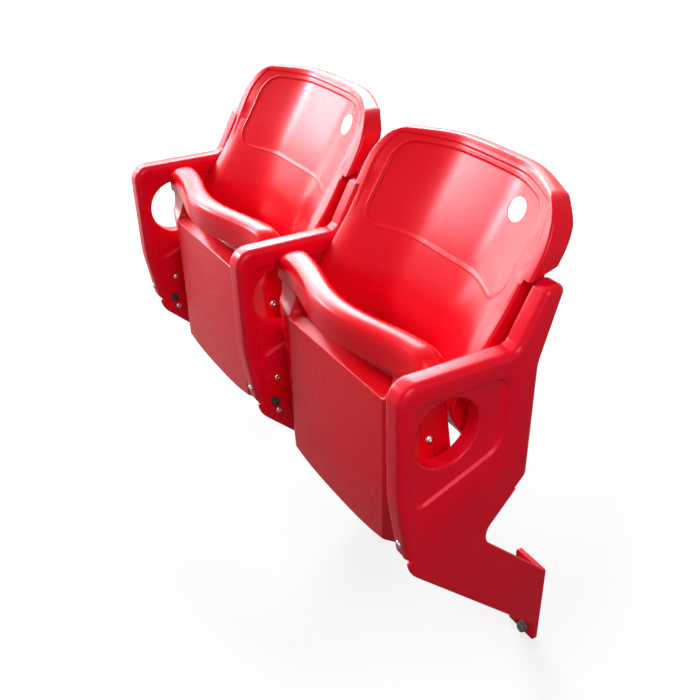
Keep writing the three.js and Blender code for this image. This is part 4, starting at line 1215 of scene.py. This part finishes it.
class STADIUM_OT_backs(bpy.types.Operator):
    """Builds the two back shells with their rims, sunk fields and fixing bosses"""

    bl_idname = "stadium.backs"
    bl_label = "Build backs"

    def execute(self, context):
        s = context.scene.seat_unit_back
        for name, x in SEATS.items():
            piece = back_shape(s, f"back_{name}_moulding", x)
            fixings = [back_fixing(s, x, side) for side in (1, -1)]
            carve(piece, [boss for boss, _ in fixings], "UNION")
            recess = oval(s, "recess", x, PLATE_PLAY, -PLATE_SUNK - GAP, OVERRUN, 0)
            carve(piece, [recess] + [tool for _, tools in fixings for tool in tools])
            install(shade(piece), f"back_shell_{name}", shell_plastic())
        return {"FINISHED"}


class STADIUM_OT_plates(bpy.types.Operator):
    """Builds the blank oval number plates on the backs"""

    bl_idname = "stadium.plates"
    bl_label = "Build number plates"

    def execute(self, context):
        s = context.scene.seat_unit_back
        for name, x in SEATS.items():
            piece = oval(s, f"plate_{name}_oval", x, 0, -PLATE_SUNK, PLATE_PROUD, PLATE_EDGE)
            install(shade(piece), f"number_plate_{name}", plate_plastic())
        return {"FINISHED"}


# Hinges, screws and stops

PLATE_OUT = 0.0233
ARM_OUT = 0.034
BORE_LEAD = 0.008
HINGE_PLATE_CORNER = 0.012
HINGE_PLATE_EDGE = 0.0006
HINGE_ARM_EDGE = 0.0007
PIN_STEM = 0.012
PIN_COLLAR = 0.010
PIN_END = 0.052
PIN_CHAMFER = 0.001
PIN_EDGE = 0.0004
SPRING_PITCH = 0.0036
SPRING_TURNS = 3
BACK_SCREW_OUT = 0.0353
FRONT_SCREW_RADIUS = 0.004
SCREW_EDGE = 0.0003
SOCKET_LEAD = 0.004
SOCKET_DEPTH_SHARE = 0.6
BRIM_SHARE = 0.1
BRIM_RADIUS_SHARE = 0.97
# Each kind of screw: its head's radius and height, its shank's length and its socket's share.
SCREWS = {
    "plate": (0.0055, 0.0019, 0.0136, 0.42),
    "arm": (0.0065, 0.0035, 0.0160, 0.45),
    "back": (0.0055, 0.0032, 0.0253, 0.42),
    "front": (0.0065, 0.0040, 0.0220, 0.45),
}
WASHER_RADIUS = 0.0105
WASHER_DEPTH = 0.0021
WASHER_BEVEL = (0.0008, 0.0009)
HEXAGON_RADIUS = 0.0099
HEXAGON_TIP_RADIUS = 0.0091
HEXAGON_SUNK = 0.0003
HEAD_BEVEL = 0.0008
HEAD_CONE_RADII = (0.0120, 0.0104, 0.0086)
HEAD_CONE_BEVEL = 0.0018
ANCHOR_RADIUS = 0.005
ANCHOR_SUNK = 0.001
ANCHOR_CHAMFER = 0.0004
ANCHOR_SHARP_ANGLE = math.radians(25)
STOP_STEM_RADIUS = 0.003
STOP_STEM = 0.010
STOP_END = 0.037
STOP_EDGE = 0.0015


def out_at(standard, side, out, place):
    """A point at an out from a standard's middle plane, at a place in Y and Z."""
    return STANDARDS[standard] + side * out, place[0], place[1]


def centre_of(node):
    """The middle of a CAD node's box in Y and Z."""
    low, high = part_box(node)
    middle = (low + high) / 2
    return middle.y, middle.z


def bore(radius, place, near):
    """A cutter for a plate's hole at a place in Y and Z, with the plate's near face at near."""
    line = [(0, radius + GAP), (OVERRUN, radius + GAP)]
    return turned("hole", line, (1, 0, 0), (near - BORE_LEAD, *place), 32)


def dome_screw(name, kind, shank, axis, origin):
    """A screw that points along an axis, its round head's underside at the origin."""
    head, head_height, reach, socket_share = SCREWS[kind]
    angles = np.linspace(0.02, math.pi / 2 - 0.15, 9)
    dome = [(-head_height * math.cos(a), head * math.sin(a)) for a in angles]
    brim = [(-head_height * BRIM_SHARE, head), (0, head * BRIM_RADIUS_SHARE)]
    rest = [*brim, (0, shank), (reach, shank), (reach, 0)]
    piece = turned(name, dome + rounded_profile(rest, SCREW_EDGE), axis, origin)
    mouth = Vector(origin) - Vector(axis).normalized() * head_height
    socket_radius = head * socket_share
    socket = [(-SOCKET_LEAD, socket_radius), (head_height * SOCKET_DEPTH_SHARE, socket_radius)]
    return shade(carve(piece, [turned("socket", socket, axis, mouth, 6)]))


class STADIUM_OT_hinges(bpy.types.Operator):
    """Builds the hinge plates, arms, pivot pins and springs of both seats"""

    bl_idname = "stadium.hinges"
    bl_label = "Build hinges"

    def execute(self, context):
        s = context.scene.seat_unit_fasteners
        for spot, standard, side in SPOTS:
            self.plate(s, spot)
            self.arm(s, spot)
            self.pin(s, spot, standard, side)
        for name, standard in (("left", "left"), ("right", "middle")):
            self.spring(s, name, standard)
        return {"FINISHED"}

    def plate(self, s, spot):
        low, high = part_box(f"hinge_plate_{spot}")
        outline = rounded_rectangle(low.y, low.z, high.y, high.z, HINGE_PLATE_CORNER)
        piece = slab(f"hinge_{spot}_plate", outline, low.x, high.x, HINGE_PLATE_EDGE, 3)
        holes = [(s.pin_radius, PIVOT), (STOP_STEM_RADIUS, centre_of(f"down_stop_{spot}"))]
        holes += [(s.screw_radius, centre_of(f"hinge_screw_{spot}_{place}")) for place in ("upper", "lower")]
        carve(piece, [bore(radius, place, low.x) for radius, place in holes])
        install(shade(piece), f"hinge_plate_{spot}", hinge_coat())

    def arm(self, s, spot):
        low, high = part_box(f"hinge_arm_{spot}")
        piece = slab(f"hinge_{spot}_arm", capsule(0), low.x, high.x, HINGE_ARM_EDGE, 3)
        holes = ((s.pin_radius, PIVOT), (s.screw_radius, ARM_TIP))
        carve(piece, [bore(radius, place, low.x) for radius, place in holes])
        install(shade(piece), f"hinge_arm_{spot}", hinge_coat())

    def pin(self, s, spot, standard, side):
        """A pin in the standard with a collar between the hinge plate and the arm."""
        r = s.pin_radius
        start, near, far = FACE_OUT - PIN_STEM, PLATE_OUT + GAP, SEAT_OUT - GAP
        corners = [
            (start, 0), (start, r), (near, r), (near, PIN_COLLAR), (far, PIN_COLLAR), (far, r),
            (PIN_END - PIN_CHAMFER, r), (PIN_END, r - PIN_CHAMFER), (PIN_END, 0),
        ]
        profile = rounded_profile(corners, PIN_EDGE)
        piece = turned(f"hinge_{spot}_pin", profile, (side, 0, 0), out_at(standard, side, 0, PIVOT))
        install(shade(piece), f"pivot_pin_{spot}", zinc_steel())

    def spring(self, s, name, standard):
        """The spring that tips the seat up, wound round the pin in the seat's pocket."""
        radius = SPRING_POCKET_RADIUS - s.spring_wire / 2 - GAP
        start = ARM_OUT + GAP + s.spring_wire
        rings = []
        for share in np.linspace(0, 1, SPRING_TURNS * 32 + 1):
            angle = 2 * math.pi * SPRING_TURNS * share
            radial = np.array([0, math.cos(angle), math.sin(angle)])
            centre = out_at(standard, 1, start + SPRING_PITCH * SPRING_TURNS * share, PIVOT)
            middle = np.array(centre) + radial * radius
            rings.append([
                middle + s.spring_wire / 2 * (radial * math.cos(a) + np.array([math.sin(a), 0, 0]))
                for a in np.linspace(0, 2 * math.pi, 12, endpoint=False)
            ])
        piece = loft(f"spring_{name}_coil", rings)
        install(shade(piece), f"torsion_spring_{name}", zinc_steel())


class STADIUM_OT_screws(bpy.types.Operator):
    """Builds the zinc screws and the dark anchor bolts"""

    bl_idname = "stadium.screws"
    bl_label = "Build screws"

    def execute(self, context):
        s = context.scene.seat_unit_fasteners
        for spot, standard, side in SPOTS:
            inward, outward = (-side, 0, 0), (side, 0, 0)
            for place in ("upper", "lower"):
                node_name = f"hinge_screw_{spot}_{place}"
                head = out_at(standard, side, PLATE_OUT + GAP, centre_of(node_name))
                piece = dome_screw(f"{node_name}_turned", "plate", s.screw_radius, inward, head)
                install(piece, node_name, zinc_steel())
            bolt = out_at(standard, side, SEAT_OUT - GAP, ARM_TIP)
            piece = dome_screw(f"arm_bolt_{spot}_turned", "arm", s.screw_radius, outward, bolt)
            install(piece, f"arm_bolt_{spot}", zinc_steel())
            node_name = f"back_screw_{spot}"
            head = out_at(standard, side, BACK_SCREW_OUT, centre_of(node_name))
            piece = dome_screw(f"{node_name}_turned", "back", s.screw_radius, inward, head)
            install(piece, node_name, zinc_steel())
        for name, x in STANDARDS.items():
            self.front_screw(name, x)
            for place in ("upper", "lower"):
                self.anchor(f"anchor_bolt_{name}_{place}")
        return {"FINISHED"}

    def front_screw(self, name, x):
        """A screw square to the standard's leaning front, at the pivot's height."""
        inward = Vector((0, KNEE[1] - HEEL[1], KNEE[0] - HEEL[0])).normalized()
        face = Vector((x, -front_reach(PIVOT[1]), PIVOT[1]))
        under = face - inward * GAP
        piece = dome_screw(f"front_screw_{name}_turned", "front", FRONT_SCREW_RADIUS, inward, under)
        install(piece, f"front_screw_{name}", zinc_steel())

    def anchor(self, node_name):
        """A flange-head hexagon bolt with a chamfered head and a plain shank."""
        low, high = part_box(node_name)
        place = ((low.x + high.x) / 2, high.y, (low.z + high.z) / 2)
        front = low.y - high.y
        under = -(FLANGE[2] + GAP)
        axis = (0, 1, 0)
        bevel, narrower = WASHER_BEVEL
        rim = [
            (under, WASHER_RADIUS), (under - WASHER_DEPTH + bevel, WASHER_RADIUS),
            (under - WASHER_DEPTH, WASHER_RADIUS - narrower),
        ]
        washer = turned("washer", rim, axis, place, 48)
        sides = [
            (under - WASHER_DEPTH + HEXAGON_SUNK, HEXAGON_RADIUS), (front + HEAD_BEVEL, HEXAGON_RADIUS),
            (front, HEXAGON_TIP_RADIUS),
        ]
        hexagon = turned("hexagon", sides, axis, place, 6)
        wide, shoulder, narrow = HEAD_CONE_RADII
        bevelled = [(under, wide), (front + HEAD_CONE_BEVEL, shoulder), (front, narrow)]
        cone = turned("cone", bevelled, axis, place, 48)
        carve(hexagon, [cone], "INTERSECT")
        tip = [
            (under - ANCHOR_SUNK, ANCHOR_RADIUS), (-ANCHOR_CHAMFER, ANCHOR_RADIUS),
            (0, ANCHOR_RADIUS - ANCHOR_CHAMFER),
        ]
        shank = turned("shank", tip, axis, place, 32)
        piece = carve(washer, [hexagon, shank], "UNION")
        piece.name = f"{node_name}_forged"
        install(shade(piece, ANCHOR_SHARP_ANGLE), node_name, dark_steel())


class STADIUM_OT_stops(bpy.types.Operator):
    """Builds the rubber stops that the seats rest against"""

    bl_idname = "stadium.stops"
    bl_label = "Build stops"

    def execute(self, context):
        s = context.scene.seat_unit_fasteners
        for spot, standard, side in SPOTS:
            for kind, near in (("up", FACE_OUT + GAP), ("down", PLATE_OUT + GAP)):
                node_name = f"{kind}_stop_{spot}"
                stem = FACE_OUT - STOP_STEM
                corners = [
                    (stem, 0), (stem, STOP_STEM_RADIUS), (near, STOP_STEM_RADIUS),
                    (near, s.stop_radius), (STOP_END, s.stop_radius), (STOP_END, 0),
                ]
                profile = rounded_profile(corners, STOP_EDGE)
                origin = out_at(standard, side, 0, centre_of(node_name))
                piece = turned(f"{node_name}_moulded", profile, (side, 0, 0), origin)
                install(shade(piece), node_name, rubber())
        return {"FINISHED"}


# Stage

CAMERA_PLACE = (1.3739, -0.8988, 1.2061)
CAMERA_AZIMUTH = math.radians(59.06)
CAMERA_RISE = math.radians(30.20)
CAMERA_LENS = 48.62
FLOOR_DROP = 0.0008
FLOOR_HALF = 12.0
STAGE_MIDDLE = (0, -0.1, 0.5)
# Each lamp: its place, and its width and height.
LAMPS = {
    "key": ((-2.52, -1.58, 1.80), (0.7, 0.7)),
    "sky": ((-2.5, 0.42, 2.2), (3.0, 1.3)),
    "side": ((-2.85, -0.71, 0.75), (1.5, 1.2)),
    "rear": ((-2.35, 1.6, 1.95), (1.9, 0.9)),
    "fill": ((1.9, -0.8, 2.0), (1.4, 1.4)),
}
# The floor's glow: a nearer and a further distance, and the glow at each.
SEEN_GLOW = (0.5, 1.1, 0.76, 1.0)
MIRRORED_GLOW = (1.2, 3.2, 0.05, 1.0)


def area_light(name, place, target, size, watts):
    """A soft rectangular light with its width level."""
    data = bpy.data.lights.new(name, "AREA")
    data.shape = "RECTANGLE"
    data.size, data.size_y = size
    data.energy = watts
    lamp = bpy.data.objects.new(name, data)
    lamp.location = place
    lamp.rotation_euler = (Vector(target) - Vector(place)).to_track_quat("-Z", "Y").to_euler()
    lamp.visible_camera = False
    bpy.context.scene.collection.objects.link(lamp)
    return lamp


def seen_directly(tree):
    """1 where the camera, a reflection or a view through glass sees the surface."""
    path = shader_node(tree, "ShaderNodeLightPath")
    seen = path.outputs["Is Camera Ray"]
    for label in ("Is Glossy Ray", "Is Transmission Ray"):
        either = shader_node(tree, "ShaderNodeMath", operation="MAXIMUM")
        tree.links.new(seen, either.inputs[0])
        tree.links.new(path.outputs[label], either.inputs[1])
        seen = either.outputs[0]
    return seen


def floor_material(tone):
    """A floor that keeps the unit's shadow, turns white further out and is dimmer in reflections."""
    material = bpy.data.materials.new("pale floor")
    material.use_nodes = True
    tree = material.node_tree
    shader = tree.nodes["Principled BSDF"]
    shader.inputs["Base Color"].default_value = (*tone, 1)
    shader.inputs["Roughness"].default_value = 0.9
    shader.inputs["Specular IOR Level"].default_value = 0.1
    shader.inputs["Emission Color"].default_value = (1, 1, 1, 1)
    place = shader_node(tree, "ShaderNodeTexCoord")
    distance = shader_node(tree, "ShaderNodeVectorMath", operation="LENGTH")
    tree.links.new(place.outputs["Object"], distance.inputs[0])
    seen = ranged(tree, distance.outputs["Value"], *SEEN_GLOW)
    mirrored = ranged(tree, distance.outputs["Value"], *MIRRORED_GLOW)
    path = shader_node(tree, "ShaderNodeLightPath")
    glow = shader_node(tree, "ShaderNodeMix", data_type="FLOAT")
    tree.links.new(path.outputs["Is Camera Ray"], glow.inputs["Factor"])
    tree.links.new(mirrored, glow.inputs["A"])
    tree.links.new(seen, glow.inputs["B"])
    strength = shader_node(tree, "ShaderNodeMath", operation="MULTIPLY")
    tree.links.new(glow.outputs["Result"], strength.inputs[0])
    tree.links.new(seen_directly(tree), strength.inputs[1])
    tree.links.new(strength.outputs[0], shader.inputs["Emission Strength"])
    return material


def studio_air(strength):
    """Even white light, and white where the world itself is seen."""
    world = bpy.data.worlds.new("studio")
    bpy.context.scene.world = world
    world.use_nodes = True
    tree = world.node_tree
    background = tree.nodes["Background"]
    background.inputs["Color"].default_value = (1, 1, 1, 1)
    level = ranged(tree, seen_directly(tree), 0, 1, strength, 1.0)
    tree.links.new(level, background.inputs["Strength"])


class STADIUM_OT_stage(bpy.types.Operator):
    """Builds the pale floor, the studio lights and the camera"""

    bl_idname = "stadium.stage"
    bl_label = "Build stage"

    def execute(self, context):
        settings = context.scene.seat_unit_stage
        level = min(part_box(name)[0].z for name in frame["nodes"]) - FLOOR_DROP
        corners = [(x * FLOOR_HALF, y * FLOOR_HALF, level) for x, y in ((-1, -1), (1, -1), (1, 1), (-1, 1))]
        floor = mesh_piece("floor", corners, [(0, 1, 2, 3)])
        floor.data.materials.append(floor_material(tuple(settings.floor)))
        for name, (place, size) in LAMPS.items():
            area_light(name, place, STAGE_MIDDLE, size, getattr(settings, name))
        studio_air(settings.air)
        self.camera(context)
        context.scene.view_settings.view_transform = "Standard"
        return {"FINISHED"}

    def camera(self, context):
        """The photograph's view, from the right and above."""
        data = bpy.data.cameras.new("camera")
        data.lens = CAMERA_LENS
        data.sensor_width = 36.0
        data.sensor_fit = "HORIZONTAL"
        data.clip_end = 60.0
        camera = bpy.data.objects.new("camera", data)
        right = Vector((math.cos(CAMERA_AZIMUTH), math.sin(CAMERA_AZIMUTH), 0))
        ahead = Vector((-math.sin(CAMERA_AZIMUTH) * math.cos(CAMERA_RISE),
                        math.cos(CAMERA_AZIMUTH) * math.cos(CAMERA_RISE), -math.sin(CAMERA_RISE)))
        turn = Matrix((right, right.cross(ahead), -ahead)).transposed().to_4x4()
        camera.matrix_world = Matrix.Translation(CAMERA_PLACE) @ turn
        context.scene.collection.objects.link(camera)
        context.scene.camera = camera


OPERATORS = (
    STADIUM_OT_standards,
    STADIUM_OT_seats,
    STADIUM_OT_backs,
    STADIUM_OT_plates,
    STADIUM_OT_hinges,
    STADIUM_OT_screws,
    STADIUM_OT_stops,
    STADIUM_OT_stage,
)
GROUP_TYPES = {
    "seat_unit_standard": StandardSizes,
    "seat_unit_seat": SeatSizes,
    "seat_unit_back": BackSizes,
    "seat_unit_fasteners": FastenerSizes,
    "seat_unit_finishes": Finishes,
    "seat_unit_stage": StageSettings,
}


class STADIUM_PT_panel(bpy.types.Panel):
    """Lists the seat's sizes, finishes and building steps"""

    bl_idname = "STADIUM_PT_panel"
    bl_label = "Stadium seat"
    bl_space_type = "VIEW_3D"
    bl_region_type = "UI"
    bl_category = "Stadium seat"

    def draw(self, context):
        layout = self.layout
        for operator in OPERATORS:
            layout.operator(operator.bl_idname)
        for attribute, kind in GROUP_TYPES.items():
            box = layout.box()
            box.label(text=kind.__doc__)
            settings = getattr(context.scene, attribute)
            for name in kind.__annotations__:
                box.prop(settings, name)


def register():
    for kind in (*GROUP_TYPES.values(), *OPERATORS, STADIUM_PT_panel):
        bpy.utils.register_class(kind)
    for attribute, kind in GROUP_TYPES.items():
        setattr(bpy.types.Scene, attribute, PointerProperty(type=kind))


def unregister():
    for attribute in GROUP_TYPES:
        delattr(bpy.types.Scene, attribute)
    for kind in reversed((*GROUP_TYPES.values(), *OPERATORS, STADIUM_PT_panel)):
        bpy.utils.unregister_class(kind)


def main():
    register()
    bpy.ops.stadium.standards()
    bpy.ops.stadium.seats()
    bpy.ops.stadium.backs()
    bpy.ops.stadium.plates()
    bpy.ops.stadium.hinges()
    bpy.ops.stadium.screws()
    bpy.ops.stadium.stops()
    bpy.ops.stadium.stage()


if __name__ == "__main__":
    main()
